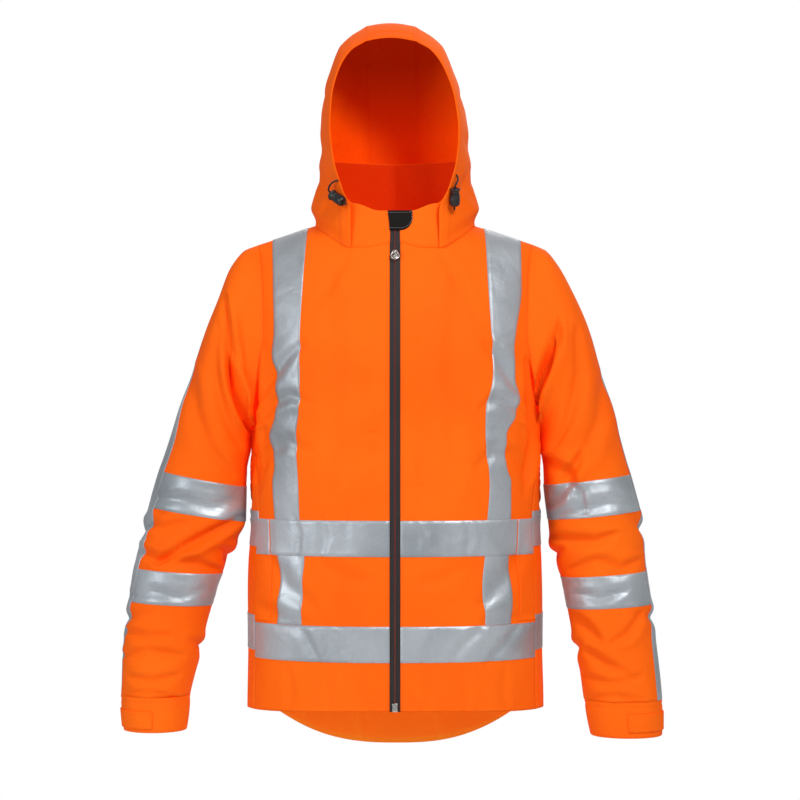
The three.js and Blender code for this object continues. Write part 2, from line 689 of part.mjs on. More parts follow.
// The neckline, from its middle front (share 0) round the side to its middle back (share 1).
function neckPoint(share) {
  const front = [7.5, 25, 43, collar.frontX, 76, 90, 103, 115];
  const back = [115, 104, 90, 75, 60, hood.seamX, 18, 0];
  const onFront = share <= 0.5;
  const xs = onFront ? front : back;
  const t = (onFront ? share : share - 0.5) * 2 * (xs.length - 1);
  const i = Math.min(xs.length - 2, Math.floor(t));
  return neckAt(lerp(xs[i], xs[i + 1], t - i), onFront ? -1 : 1);
}

function neckAt(x, face) {
  const z = read(face < 0 ? frontNeck : backNeck, 'x', Math.abs(x), 'z');
  return new THREE.Vector3(x, bodyY(x, z, face), z);
}

// Moves a point towards the middle of the neck, or away from it.
function neckShift(point, distance) {
  const away = new THREE.Vector3(point.x, point.y, 0).setLength(distance);
  return point.clone().add(away);
}

const neckSeamShare = 3 / 14;
const napeSeamShare = 0.5 + 5 / 14;

function collarTop(share) {
  const base = neckPoint(share);
  const top = neckShift(base, -collar.lean);
  const rise = smooth((share - neckSeamShare) / (0.8 - neckSeamShare));
  const edge = collar.edgeRise * smooth((share - 0.3 * neckSeamShare) / (0.7 * neckSeamShare));
  top.z = lerp(collar.topZ + edge, collar.backTopZ, rise);
  return top;
}

function buildCollar() {
  for (const side of [-1, 1]) {
    const name = side < 0 ? 'right' : 'left';
    const points = [0, 0.5, 1].map((t) => [0, 1, 2, 3].map((i) => {
      const share = (i / 3) * neckSeamShare;
      const base = neckPoint(share);
      base.z += 2 * seamGap;
      return mirror(base.lerp(collarTop(share), t), side);
    }));
    const grid = makeGrid(points, new THREE.Vector3(0, 0, -20));
    addPanel(`collar_front_${name}`, trimGrid(grid, ['last']), orange, collar.wall);
  }
  const shares = [];
  for (let i = 0; i <= 11; i += 1) shares.push(lerp(neckSeamShare, 1, i / 11));
  const points = [0, 0.5, 1].map((t) => {
    const half = shares.map((share) => {
      const base = neckShift(neckPoint(share), -collar.inset);
      base.z += 2 * seamGap;
      return base.lerp(neckShift(collarTop(share), -collar.inset), t);
    });
    return [...half.map((p) => mirror(p, -1)), ...half.slice(0, -1).reverse()];
  });
  const grid = makeGrid(points, new THREE.Vector3(0, 0, 20));
  addPanel('collar_back', trimGrid(grid, ['first', 'last'], 1.2), orange, collar.wall);
}

buildCollar();

// A point on a table of points, at a share of the table's length.
function along(table, share, fixed = {}) {
  const lengths = [0];
  for (let i = 1; i < table.length; i += 1) {
    const step = Math.hypot(
      (table[i].x ?? 0) - (table[i - 1].x ?? 0),
      table[i].y - table[i - 1].y,
      table[i].z - table[i - 1].z,
    );
    lengths.push(lengths[i - 1] + step);
  }
  const target = share * lengths[lengths.length - 1];
  let i = 1;
  while (i < table.length - 1 && lengths[i] < target) i += 1;
  const t = (target - lengths[i - 1]) / (lengths[i] - lengths[i - 1]);
  const mix = (key) => lerp(table[i - 1][key] ?? fixed[key], table[i][key] ?? fixed[key], t);
  return new THREE.Vector3(mix('x'), mix('y'), mix('z'));
}

const hoodRows = 10;
const hoodCols = 9;

function hoodLean(point) {
  point.x += hood.lean * smooth((point.z - 60) / 220);
  return point;
}

function hoodSideGrid(side) {
  const seam = { x: hood.seamX };
  const bottom = (u) => {
    const base = neckShift(neckPoint(lerp(neckSeamShare, napeSeamShare, u)), hood.outset);
    base.z += 2 * seamGap;
    return base;
  };
  const rim = (v) => along(rimTable, v).lerp(bottom(0), v === 0 ? 1 : 0);
  const nape = (v) => along(napeTable, v, seam).lerp(bottom(1), v === 0 ? 1 : 0);
  const crown = (u) => along(crownTable, u, seam);
  const patch = (u, v) => {
    const point = new THREE.Vector3();
    point.addScaledVector(rim(v), 1 - u).addScaledVector(nape(v), u);
    point.addScaledVector(bottom(u), 1 - v).addScaledVector(crown(u), v);
    point.addScaledVector(bottom(0), -(1 - u) * (1 - v)).addScaledVector(bottom(1), -u * (1 - v));
    point.addScaledVector(crown(0), -(1 - u) * v).addScaledVector(crown(1), -u * v);
    return point;
  };
  const points = [];
  for (let r = 0; r <= hoodRows; r += 1) {
    const v = r / hoodRows;
    const middle = patch(0.5, v);
    const swell = read(hoodWidthTable, 'z', middle.z, 'half') - middle.x;
    const row = [];
    for (let c = 0; c <= hoodCols; c += 1) {
      const u = c / hoodCols;
      const point = patch(u, v);
      const fade = Math.min(1, (1 - v) * hood.swellFade);
      if (v > 0 && v < 1) point.x += swell * Math.sin(Math.PI * u) ** hood.swellPower * fade;
      row.push(hoodLean(mirror(point, side)));
    }
    points.push(row);
  }
  return makeGrid(points, new THREE.Vector3(0, 0, 120));
}

function hoodCentreGrid(left, right) {
  const path = (grid) => {
    const crown = grid.points[hoodRows];
    const nape = grid.points.map((row) => row[hoodCols]).reverse().slice(1);
    return [...crown, ...nape];
  };
  const leftPath = path(left);
  const rightPath = path(right);
  const points = leftPath.map((point, i) => [1, 2 / 3, 1 / 3, 0].map((t) => {
    const across = rightPath[i].clone().lerp(point, t);
    const lift = hood.crownLift * Math.sin(Math.PI * t);
    const from = new THREE.Vector3(0, 10, 110);
    return across.clone().addScaledVector(across.clone().sub(from).normalize(), lift);
  }));
  const base = points[points.length - 1];
  for (const i of [1, 2]) {
    base[i] = neckShift(neckAt(base[i].x, 1), hood.outset);
    base[i].z += 2 * seamGap;
  }
  return makeGrid(points, new THREE.Vector3(0, 10, 110));
}

const hoodSides = { right: hoodSideGrid(-1), left: hoodSideGrid(1) };
const hoodCentre = hoodCentreGrid(hoodSides.left, hoodSides.right);
for (const [name, grid] of Object.entries(hoodSides)) {
  shareNormals(grid, hoodCentre);
  addPanel(`hood_side_${name}`, trimGrid(grid, ['last', 'bottom']), orange, hood.wall);
}
addPanel('hood_centre', trimGrid(hoodCentre, ['first', 'last']), orange, hood.wall);

// ---- front zip, chin guard, slider and ring pull

const zipTop = { y: bodyY(zipHalf, frontNeck[0].z, -1) + collar.lean, z: collar.topZ };

// Depth of the zip's face at a height: up the collar, or down the front.
function zipY(z) {
  const neckZ = frontNeck[0].z;
  if (z <= neckZ) return bodyY(zipHalf, z, -1);
  return lerp(bodyY(zipHalf, neckZ, -1), zipTop.y, (z - neckZ) / (collar.topZ - neckZ));
}

const zipHeights = [
  collar.topZ, -12, frontNeck[0].z, -60, -90, -130, -180, -240, -300, -360, -430, -500, -600, hem.front,
];

function buildZip() {
  for (const side of [-1, 1]) {
    const name = side < 0 ? 'right' : 'left';
    const columns = [0.2, zipHalf - seamGap];
    const points = zipHeights.map((z) => columns.map(
      (x) => new THREE.Vector3(x * side, zipY(z) + zipSink, z),
    ));
    addPanel(`zip_${name}`, makeGrid(points, new THREE.Vector3(0, 0, -350)), blackCloth, zipWall);
  }
}

// A point on the front of the collar.
function collarFace(x, z) {
  const base = neckAt(Math.abs(x), -1);
  const top = neckShift(base, -collar.lean);
  top.z = collar.topZ;
  const point = base.lerp(top, (z - base.z) / (collar.topZ - base.z));
  point.x = x;
  return point;
}

function buildChinGuard() {
  const guard = chinGuard;
  const columns = [-1, -0.5, 0, 0.5, 1].map((t) => t * zipHalf);
  for (const t of [0.35, 0.65, 0.88, 1]) columns.push(lerp(zipHalf, guard.right, t));
  const points = [0, 1, 2, 3].map((row) => columns.map((x, c) => {
    const lobe = Math.max(0, (x - zipHalf) / (guard.right - zipHalf));
    const drop = lerp(guard.straight, guard.height, Math.sqrt(1 - lobe ** 2));
    const widened = c === 0 ? x - lerp(guard.left - zipHalf, 0, Math.min(1, row / 2)) : x;
    return collarFace(widened, collar.topZ - (drop * row) / 3);
  }));
  const grid = makeGrid(points, new THREE.Vector3(0, 0, 0));
  add('chin_guard', wallGeometry(grid, guard.lift, guard.lift + guard.wall), blackCloth);
}

// Closed solid for joining, from a geometry in its final place.
function toSolid(wasm, geometry) {
  geometry.deleteAttribute('normal');
  geometry.deleteAttribute('uv');
  const merged = mergeVertices(geometry, 1e-4);
  return new wasm.Manifold(new wasm.Mesh({
    numProp: 3,
    vertProperties: new Float32Array(merged.attributes.position.array),
    triVerts: new Uint32Array(merged.index.array),
  }));
}

function fromSolid(solid) {
  const mesh = solid.getMesh();
  const geometry = new THREE.BufferGeometry();
  geometry.setAttribute('position', new THREE.BufferAttribute(new Float32Array(mesh.vertProperties), 3));
  geometry.setIndex(new THREE.BufferAttribute(new Uint32Array(mesh.triVerts), 1));
  geometry.computeVertexNormals();
  return geometry;
}

function roundedPlate(width, height, corner, depth) {
  const x = width / 2;
  const z = height / 2;
  const shape = new THREE.Shape();
  shape.moveTo(-x + corner, -z);
  shape.lineTo(x - corner, -z);
  shape.quadraticCurveTo(x, -z, x, -z + corner);
  shape.lineTo(x, z - corner);
  shape.quadraticCurveTo(x, z, x - corner, z);
  shape.lineTo(-x + corner, z);
  shape.quadraticCurveTo(-x, z, -x, z - corner);
  shape.lineTo(-x, -z + corner);
  shape.quadraticCurveTo(-x, -z, -x + corner, -z);
  const geometry = new THREE.ExtrudeGeometry(shape, { depth, bevelEnabled: false, curveSegments: 4 });
  return geometry.rotateX(Math.PI / 2);
}

async function buildSlider() {
  const wasm = await Module();
  wasm.setup();
  const slope = (zipY(zipSlider.z + 5) - zipY(zipSlider.z - 5)) / 10;
  const carrier = new THREE.Group();
  carrier.position.set(0, zipY(zipSlider.z) + zipSink, zipSlider.z);
  carrier.rotation.x = -Math.atan(slope);
  jacket.add(carrier);
  const faceY = -zipSlider.clear;
  const bodySolid = roundedPlate(zipSlider.width, zipSlider.height, zipSlider.corner, zipSlider.depth);
  bodySolid.translate(0, faceY, -zipSlider.drop);
  const eyeY = -zipSlider.depth - zipSlider.eyeReach;
  const eye = new THREE.Shape();
  const root = zipSlider.eyeRoot - zipSlider.depth;
  eye.moveTo(root, -zipSlider.eye);
  eye.lineTo(root, zipSlider.eye);
  eye.lineTo(eyeY, zipSlider.eye);
  eye.absarc(eyeY, 0, zipSlider.eye, Math.PI / 2, Math.PI * 1.5, false);
  const hole = new THREE.Path();
  hole.absarc(eyeY, 0, zipSlider.hole, 0, Math.PI * 2, true);
  eye.holes.push(hole);
  const crown = new THREE.ExtrudeGeometry(eye, {
    depth: zipSlider.crownWidth, bevelEnabled: false, curveSegments: 8,
  });
  // The profile is drawn in depth and height, and its extrusion runs across the jacket.
  const place = new THREE.Matrix4().makeBasis(
    new THREE.Vector3(0, 1, 0),
    new THREE.Vector3(0, 0, 1),
    new THREE.Vector3(1, 0, 0),
  );
  crown.applyMatrix4(place);
  crown.translate(-zipSlider.crownWidth / 2, faceY, 0);
  const solid = toSolid(wasm, bodySolid).add(toSolid(wasm, crown));
  carrier.add(add('zip_slider', fromSolid(solid), steel));
  const ring = add('zip_pull', new THREE.TorusGeometry(pullRing.radius, pullRing.wire, 8, 28), steel);
  ring.rotation.x = Math.PI / 2;
  ring.position.set(0, faceY + eyeY, -pullRing.radius);
  carrier.add(ring);
  const box = roundedPlate(zipBox.width, zipBox.height, zipBox.corner, zipBox.depth);
  const boxMesh = add('zip_box', box, steel);
  boxMesh.position.set(0, zipY(hem.front) + zipSink - seamGap, hem.front + zipBox.height / 2);
}

buildZip();
buildChinGuard();
await buildSlider();

// ---- hood drawcords and their locks

function lathePart(outline, place, turn, name) {
  const profile = outline.map(([radius, height]) => new THREE.Vector2(radius, height));
  const mesh = add(name, new THREE.LatheGeometry(profile, 20), blackPlastic);
  mesh.quaternion.copy(turn);
  mesh.position.copy(place);
}

function buildCordLock(name, lock) {
  const from = new THREE.Vector3(...lock.mouth);
  const axis = new THREE.Vector3(...lock.end).sub(from).normalize();
  const turn = new THREE.Quaternion().setFromUnitVectors(new THREE.Vector3(0, 1, 0), axis);
  const { bore, radius, length, chamfer, foot, buttonRadius, buttonLength } = lockSize;
  const { flange, flangeDepth, flangeFoot } = lockSize;
  const button = [
    [bore, 0], [flange, 0], [flange, flangeDepth], [buttonRadius, flangeFoot],
    [buttonRadius, buttonLength], [bore, buttonLength], [bore, 0],
  ];
  lathePart(button, from, turn, `cord_button_${name}`);
  const barrel = [
    [bore, 0], [radius - chamfer, 0], [radius, chamfer], [radius, length - foot],
    [radius - foot, length], [bore, length], [bore, 0],
  ];
  const seat = from.clone().addScaledVector(axis, buttonLength + seamGap);
  lathePart(barrel, seat, turn, `cord_lock_${name}`);
}

function buildDrawcord(name, lock) {
  const route = new THREE.CatmullRomCurve3(lock.cord.map((point) => new THREE.Vector3(...point)));
  const section = new THREE.Shape();
  section.absarc(0, 0, cordDiameter / 2, 0, Math.PI * 2, false);
  const options = { steps: 18, extrudePath: route, bevelEnabled: false, curveSegments: 4 };
  add(`drawcord_${name}`, new THREE.ExtrudeGeometry(section, options), blackCloth);
}

for (const [name, lock] of Object.entries(cordLocks)) {
  buildCordLock(name, lock);
  buildDrawcord(name, lock);
}

export default jacket;
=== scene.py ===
import math
import bmesh
import bpy
import numpy as np
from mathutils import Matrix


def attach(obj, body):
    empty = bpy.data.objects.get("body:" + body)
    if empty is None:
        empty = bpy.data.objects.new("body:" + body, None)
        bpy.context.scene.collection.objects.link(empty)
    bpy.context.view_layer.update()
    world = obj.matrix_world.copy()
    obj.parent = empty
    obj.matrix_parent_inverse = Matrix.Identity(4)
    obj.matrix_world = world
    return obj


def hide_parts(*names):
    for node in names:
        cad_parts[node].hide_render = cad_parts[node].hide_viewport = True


# Hi-vis work jacket with a three-panel hood, in its worn, hollow form. Sizes are in millimetres
# and become metres when a mesh is made. The front faces -Y, and the wearer's left is +X.

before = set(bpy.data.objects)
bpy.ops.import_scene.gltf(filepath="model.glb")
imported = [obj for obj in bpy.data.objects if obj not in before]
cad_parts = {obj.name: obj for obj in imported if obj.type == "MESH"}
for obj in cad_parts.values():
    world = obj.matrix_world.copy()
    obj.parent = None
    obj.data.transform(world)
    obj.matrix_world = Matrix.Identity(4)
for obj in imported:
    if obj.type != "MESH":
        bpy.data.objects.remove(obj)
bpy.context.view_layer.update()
mm = 0.001
print("stage: frame loaded, with", len(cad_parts), "nodes")

# Camera, lights and surround

camera = {"x": 0.007, "distance": 3.2, "z": -0.258, "lens": 99.45}
lights = {
    "key": {"place": (1.3, -2.7, 1.9), "size": 0.9, "power": 72, "tint": (1.0, 0.99, 0.975)},
    "fill": {"place": (-2.2, -2.4, 0.5), "size": 1.3, "power": 34, "tint": (0.97, 0.985, 1.0)},
    "low": {"place": (0.1, -2.6, -1.9), "size": 1.6, "power": 3, "tint": (1.0, 0.98, 0.96)},
    "back": {"place": (0.4, 2.6, 1.4), "size": 2.2, "power": 34, "tint": (1.0, 1.0, 1.0)},
}
surround = {"light": 0.33, "seen": 1.0}


def addToScene(name, data):
    thing = bpy.data.objects.new(name, data)
    bpy.context.scene.collection.objects.link(thing)
    return thing


def makeCamera():
    data = bpy.data.cameras.new("camera")
    data.lens = camera["lens"]
    data.sensor_width = 36
    data.clip_start = 0.05
    thing = addToScene("camera", data)
    thing.location = (camera["x"], -camera["distance"], camera["z"])
    thing.rotation_euler = (math.pi / 2, 0, 0)
    bpy.context.scene.camera = thing


def makeLights():
    middle = np.array((0, 0, -0.25))
    for name, sizes in lights.items():
        data = bpy.data.lights.new(name, "AREA")
        data.size = sizes["size"]
        data.energy = sizes["power"]
        data.color = sizes["tint"]
        thing = addToScene(name, data)
        back = np.array(sizes["place"]) - middle
        thing.location = sizes["place"]
        tilt = math.atan2(math.hypot(back[0], back[1]), back[2])
        thing.rotation_euler = (tilt, 0, math.atan2(back[0], -back[1]))


def makeSurround():
    world = bpy.data.worlds.new("studio")
    world.use_nodes = True
    tree = world.node_tree
    tree.nodes.clear()
    lit = tree.nodes.new("ShaderNodeBackground")
    lit.inputs["Strength"].default_value = surround["light"]
    lit.inputs["Color"].default_value = (1, 1, 1, 1)
    seen = tree.nodes.new("ShaderNodeBackground")
    seen.inputs["Strength"].default_value = surround["seen"]
    seen.inputs["Color"].default_value = (1, 1, 1, 1)
    rays = tree.nodes.new("ShaderNodeLightPath")
    mix = tree.nodes.new("ShaderNodeMixShader")
    end = tree.nodes.new("ShaderNodeOutputWorld")
    tree.links.new(rays.outputs["Is Camera Ray"], mix.inputs["Fac"])
    tree.links.new(lit.outputs[0], mix.inputs[1])
    tree.links.new(seen.outputs[0], mix.inputs[2])
    tree.links.new(mix.outputs[0], end.inputs["Surface"])
    bpy.context.scene.world = world
    bpy.context.scene.view_settings.view_transform = "Standard"
    bpy.context.scene.view_settings.look = "None"


makeCamera()
makeLights()
makeSurround()
print("stage: camera, lights and surround made")

# Sums used by every piece


def smooth(t):
    s = np.clip(t, 0.0, 1.0)
    return s * s * (3 - 2 * s)


def lerp(a, b, t):
    return a + (b - a) * t


# Smooth value of one column of a table whose first column is its key.
def read(table, at, column):
    rows = np.array(sorted(table), float)
    key = rows[:, 0]
    value = rows[:, column]
    step = np.diff(key)
    slope = np.diff(value) / step
    tangent = np.zeros(len(key))
    tangent[0] = slope[0]
    tangent[-1] = slope[-1]
    agree = slope[:-1] * slope[1:] > 0
    total = np.where(agree, slope[:-1] + slope[1:], 1.0)
    tangent[1:-1] = np.where(agree, 2 * slope[:-1] * slope[1:] / total, 0.0)
    at = np.clip(at, key[0], key[-1])
    i = np.clip(np.searchsorted(key, at) - 1, 0, len(step) - 1)
    t = (at - key[i]) / step[i]
    rise = (1 + 2 * t) * (1 - t) ** 2 * value[i] + t * t * (3 - 2 * t) * value[i + 1]
    lean = t * (1 - t) ** 2 * tangent[i] + t * t * (t - 1) * tangent[i + 1]
    return rise + lean * step[i]


# Real-valued positions that divide each coarse step of a panel, and where the coarse lines are.
def fineSteps(counts):
    places = [0.0]
    marks = [0]
    for i, count in enumerate(counts):
        places += [i + (k + 1) / count for k in range(count)]
        marks.append(len(places) - 1)
    return np.array(places), marks


def unit(vectors):
    return vectors / np.maximum(np.linalg.norm(vectors, axis=-1, keepdims=True), 1e-9)


def gridNormals(points, inside, wrap=False):
    if wrap:
        across = np.roll(points, -1, 1) - np.roll(points, 1, 1)
    else:
        across = np.gradient(points, axis=1)
    normals = unit(np.cross(across, np.gradient(points, axis=0)))
    outward = points - np.array(inside, float)
    return normals if (normals * outward).sum() > 0 else -normals


def makeGrid(points, inside, wrap=False):
    return {"p": points, "n": gridNormals(points, inside, wrap), "wrap": wrap, "inside": inside}


def part(grid, rows, cols):
    picked = {key: grid[key][rows[0]:rows[1] + 1][:, cols[0]:cols[1] + 1] for key in ("p", "n")}
    return {**picked, "wrap": False, "inside": grid["inside"]}


# Averages the normals of two borders where they meet.
def shareBorder(first, second):
    for i in range(len(first["p"])):
        gaps = np.linalg.norm(second["p"] - first["p"][i], axis=1)
        nearest = int(np.argmin(gaps))
        if gaps[nearest] > 3 or first["n"][i] @ second["n"][nearest] < 0.05:
            continue
        mixed = unit(first["n"][i] + second["n"][nearest])
        first["n"][i] = mixed
        second["n"][nearest] = mixed


# Folds: soft troughs with a ridge beside them, and a slow waviness over all the cloth

waviness = {"height": 1.5, "lengths": (74, 97, 133, 171, 210), "seed": 7}


def slowWaves(points):
    dice = np.random.default_rng(waviness["seed"])
    total = np.zeros(points.shape[:-1])
    for length in waviness["lengths"]:
        for _ in range(3):
            way = unit(dice.normal(size=3) * (1, 1, 0.75))
            start = dice.uniform(0, 2 * math.pi)
            total += np.sin(points @ way * 2 * math.pi / length + start) * length / 210
    return total * waviness["height"] / len(waviness["lengths"])


# A fold is (face, half width, depth, ridge, line). Its face is the way it looks, and its line
# is drawn as seen from there: x and z for front and back, y and z for the outer sides.
faces = {
    "front": (np.array((0, -1, 0)), (0, 2)),
    "back": (np.array((0, 1, 0)), (0, 2)),
    "left": (np.array((1, 0, 0)), (1, 2)),
    "right": (np.array((-1, 0, 0)), (1, 2)),
}


def foldHeights(grid, folds):
    heights = np.zeros(grid["p"].shape[:-1])
    for face, width, depth, ridge, line in folds:
        way, axes = faces[face]
        facing = smooth((grid["n"] @ way + 0.05) / 0.4)
        flat = grid["p"][..., list(axes)]
        line = np.array(line, float)
        lengths = np.concatenate([[0], np.cumsum(np.linalg.norm(np.diff(line, axis=0), axis=1))])
        nearest = np.full(heights.shape, 1e9)
        signed = np.zeros(heights.shape)
        share = np.zeros(heights.shape)
        for i in range(len(line) - 1):
            run = line[i + 1] - line[i]
            t = np.clip(((flat - line[i]) @ run) / (run @ run), 0, 1)
            off = flat - (line[i] + t[..., None] * run)
            distance = np.linalg.norm(off, axis=-1)
            side = np.sign(run[0] * off[..., 1] - run[1] * off[..., 0])
            closer = distance < nearest
            nearest = np.where(closer, distance, nearest)
            signed = np.where(closer, side * distance, signed)
            share = np.where(closer, (lengths[i] + t * (lengths[i + 1] - lengths[i])) / lengths[-1], share)
        swell = 0.45 + 0.55 * np.sin(math.pi * np.clip(share, 0, 1)) ** 0.7
        s = signed / (width * swell)
        trough = np.exp(-s * s) - ridge * np.exp(-((s - 1.7) / 1.15) ** 2)
        trough -= 0.35 * ridge * np.exp(-((s + 1.9) / 1.2) ** 2)
        heights -= depth * swell * trough * facing
    return heights


def applyFolds(grid, folds, depth, fade=None):
    heights = depth * foldHeights(grid, folds) + slowWaves(grid["p"])
    if fade is not None:
        heights = heights * fade
    grid["p"] = grid["p"] + grid["n"] * heights[..., None]


# Meshes


def lengthsAlong(points, axis):
    steps = np.linalg.norm(np.diff(points, axis=axis), axis=-1)
    pad = np.zeros_like(np.take(steps, [0], axis=axis))
    return np.concatenate([pad, np.cumsum(steps, axis=axis)], axis=axis)


# A mesh from vertices in millimetres, faces and a UV pair for each vertex, in metres.
def makePiece(name, vertices, faceList, uvs, slots=None, soft=True):
    mesh = bpy.data.meshes.new(name)
    mesh.from_pydata((np.asarray(vertices) * mm).tolist(), [], faceList)
    layer = mesh.uv_layers.new(name="cloth")
    corner = np.zeros(len(mesh.loops), int)
    mesh.loops.foreach_get("vertex_index", corner)
    layer.data.foreach_set("uv", (np.asarray(uvs)[corner] * mm).astype(np.float32).ravel())
    if slots is not None:
        mesh.polygons.foreach_set("material_index", np.asarray(slots, np.int32))
    mesh.polygons.foreach_set("use_smooth", np.full(len(mesh.polygons), soft))
    mesh.update()
    return addToScene(name, mesh)


# Closed cloth wall between two distances from a grid. Its edges are rounded, and slot 1 is
# its inner face.
def clothPiece(name, grid, inner, outer, edge=0.05):
    points = grid["p"]
    normals = grid["n"]
    rows, cols = points.shape[:2]
    wrap = grid["wrap"]
    inner = np.broadcast_to(inner, (rows, cols))[..., None]
    outer = np.broadcast_to(outer, (rows, cols))[..., None]
    ups = lengthsAlong(points, 0)
    sides = lengthsAlong(points, 1)
    uv = np.stack([sides, -ups], axis=-1).reshape(-1, 2)
    layers = [(points + normals * outer).reshape(-1, 3), (points + normals * inner).reshape(-1, 3)]
    size = rows * cols
    r, c = np.meshgrid(np.arange(rows - 1), np.arange(cols if wrap else cols - 1), indexing="ij")
    d = (c + 1) % cols
    a = (r * cols + c).ravel()
    b = (r * cols + d).ravel()
    e = ((r + 1) * cols + d).ravel()
    f = ((r + 1) * cols + c).ravel()
    across = layers[0][b] - layers[0][a]
    down = layers[0][f] - layers[0][a]
    facing = (np.cross(across, down) * normals.reshape(-1, 3)[a]).sum()
    quads = np.stack([a, b, e, f] if facing > 0 else [a, f, e, b], axis=1)
    # split the same way in every layer, so that tape never dips into the cloth under it
    outerFaces = np.concatenate([quads[:, [0, 1, 2]], quads[:, [0, 2, 3]]])
    innerFaces = outerFaces[:, ::-1] + size
    border = []
    if wrap:
        border.append(list(range(cols)) + [0])
        border.append([(rows - 1) * cols + k for k in range(cols)][::-1] + [rows * cols - 1])
    else:
        loop = list(range(cols))
        loop += [k * cols + cols - 1 for k in range(1, rows)]
        loop += [(rows - 1) * cols + k for k in range(cols - 2, -1, -1)]
        loop += [k * cols for k in range(rows - 2, -1, -1)]
        border.append(loop)
    middle = (layers[0] + layers[1]) / 2
    vertices = layers[0].tolist() + layers[1].tolist()
    uvList = uv.tolist() * 2
    faceList = outerFaces.tolist() + innerFaces.tolist()
    slots = [0] * len(outerFaces) + [1] * len(innerFaces)
    flip = facing > 0
    flatNormals = normals.reshape(-1, 3)
    for loop in border:
        ids = np.array(loop[:-1])
        run = middle[np.roll(ids, -1)] - middle[np.roll(ids, 1)]
        out = unit(np.cross(run, flatNormals[ids]))
        if not flip:
            out = -out
        thick = np.linalg.norm(layers[0][ids] - layers[1][ids], axis=1)[:, None]
        ridge = middle[ids] + out * np.minimum(edge, thick * 0.5)
        start = len(vertices)
        vertices += ridge.tolist()
        uvList += uv[ids].tolist()
        count = len(ids)
        for k in range(count):
            m = (k + 1) % count
            p, q = int(ids[k]), int(ids[m])
            topSide = [p, start + k, start + m, q]
            lowSide = [start + k, p + size, q + size, start + m]
            if not flip:
                topSide.reverse()
                lowSide.reverse()
            faceList += [topSide, lowSide]
            slots += [0, 0]
    return makePiece(name, vertices, faceList, uvList, slots)


# A round tube along a line of points, closed at both ends.
def tubePiece(name, line, radius, sides=12, ends=0.6):
    line = np.array(line, float)
    run = unit(np.gradient(line, axis=0))
    across = unit(np.cross(run[0], (0.3, 0.9, 0.2)))
    vertices = []
    uvs = []
    travelled = lengthsAlong(line[:, None], 0)[:, 0]
    for i, point in enumerate(line):
        across = unit(across - run[i] * (across @ run[i]))
        other = np.cross(run[i], across)
        size = radius * (ends if i in (0, len(line) - 1) else 1)
        for k in range(sides):
            turn = 2 * math.pi * k / sides
            vertices.append(point + (across * math.cos(turn) + other * math.sin(turn)) * size)
            uvs.append((travelled[i], k * 2 * math.pi * radius / sides))
    faceList = []
    for i in range(len(line) - 1):
        for k in range(sides):
            m = (k + 1) % sides
            faceList.append([i * sides + k, i * sides + m, (i + 1) * sides + m, (i + 1) * sides + k])
    faceList.append([k for k in range(sides)][::-1])
    faceList.append([(len(line) - 1) * sides + k for k in range(sides)])
    return makePiece(name, vertices, faceList, uvs)


# Drawcords

drawcord = {
    "diameter": 2.6,
    "right": [
        (-80, -90.8, 51), (-86, -88.5, 49.5), (-91.5, -83, 45.5), (-94, -77, 40), (-92.2, -75.5, 35.5),
        (-89, -78, 32), (-79.75, -86.75, 25), (-70.5, -95.5, 18), (-68.4, -97.5, 16.4)],
    "left": [
        (86.5, -81.5, 60), (88.5, -86, 55.5), (88, -89.5, 50), (85.5, -90, 45), (84.5, -87.8, 40),
        (84.2, -83.2, 27), (84, -78.5, 14), (84, -77.2, 10.4)],
    "lengths": {"right": 67, "left": 56},
}


# Points of a smooth line through a few points, spaced evenly enough for a tube.
def smoothLine(corners, steps):
    corners = np.array(corners, float)
    padded = np.vstack([2 * corners[0] - corners[1], corners, 2 * corners[-1] - corners[-2]])
    line = []
    for i in range(1, len(padded) - 2):
        a, b, c, d = padded[i - 1:i + 3]
        for k in range(steps):
            t = k / steps
            line.append(0.5 * (2 * b + (c - a) * t + (2 * a - 5 * b + 4 * c - d) * t * t
                               + (3 * b - a - 3 * c + d) * t ** 3))
    line.append(corners[-1])
    return np.array(line)


cordLines = {side: smoothLine(drawcord[side], 5) for side in ("left", "right")}
cords = {}
for side, line in cordLines.items():
    cords[side] = tubePiece("drawcord_" + side, line, drawcord["diameter"] / 2)
    print("stage: drawcord", side, round(float(lengthsAlong(line[:, None], 0)[-1, 0]), 1), "mm long")

# Body: two front panels and a back

body = {
    "wall": 1.3,
    "gap": 0.02,
    "power": 2.35,
    # height, half width, depth in front, depth behind
    "table": [(60, 212, 130, 122), (-150, 211, 130, 124), (-303, 209, 131, 124), (-430, 208, 132, 119),
              (-490, 211, 132, 120), (-606, 213, 133, 125), (-800, 215, 134, 130)],
    "sideSeam": [(-303, 0), (-345, 34), (-385, 54), (-430, 60), (-800, 60)],
    "frontNeck": [(0, -34), (40, -43), (62, -43), (90, -28), (115, -6.4)],
    "backNeck": [(0, 8), (60, 1), (90, -2), (115, -6.4)],
    "neckHalf": 115,
    "hemFront": -691,
    "hemSide": -697,
    "tail": -774,
    "tailSide": -699,
    "tailHalf": 196,
    "tailPower": 2.6,
}
shoulder = {"tipX": 200, "tipZ": -34, "slope": 0.325, "frontRoll": 260, "backRoll": 115}
armhole = {"bottomZ": -303, "waistX": 187, "lowCurve": 0.9}
tape = {"lay": 0.25, "wall": 0.5, "step": 0.65, "trim": 0.5, "edge": 0.12, "stitchIn": 2.2}
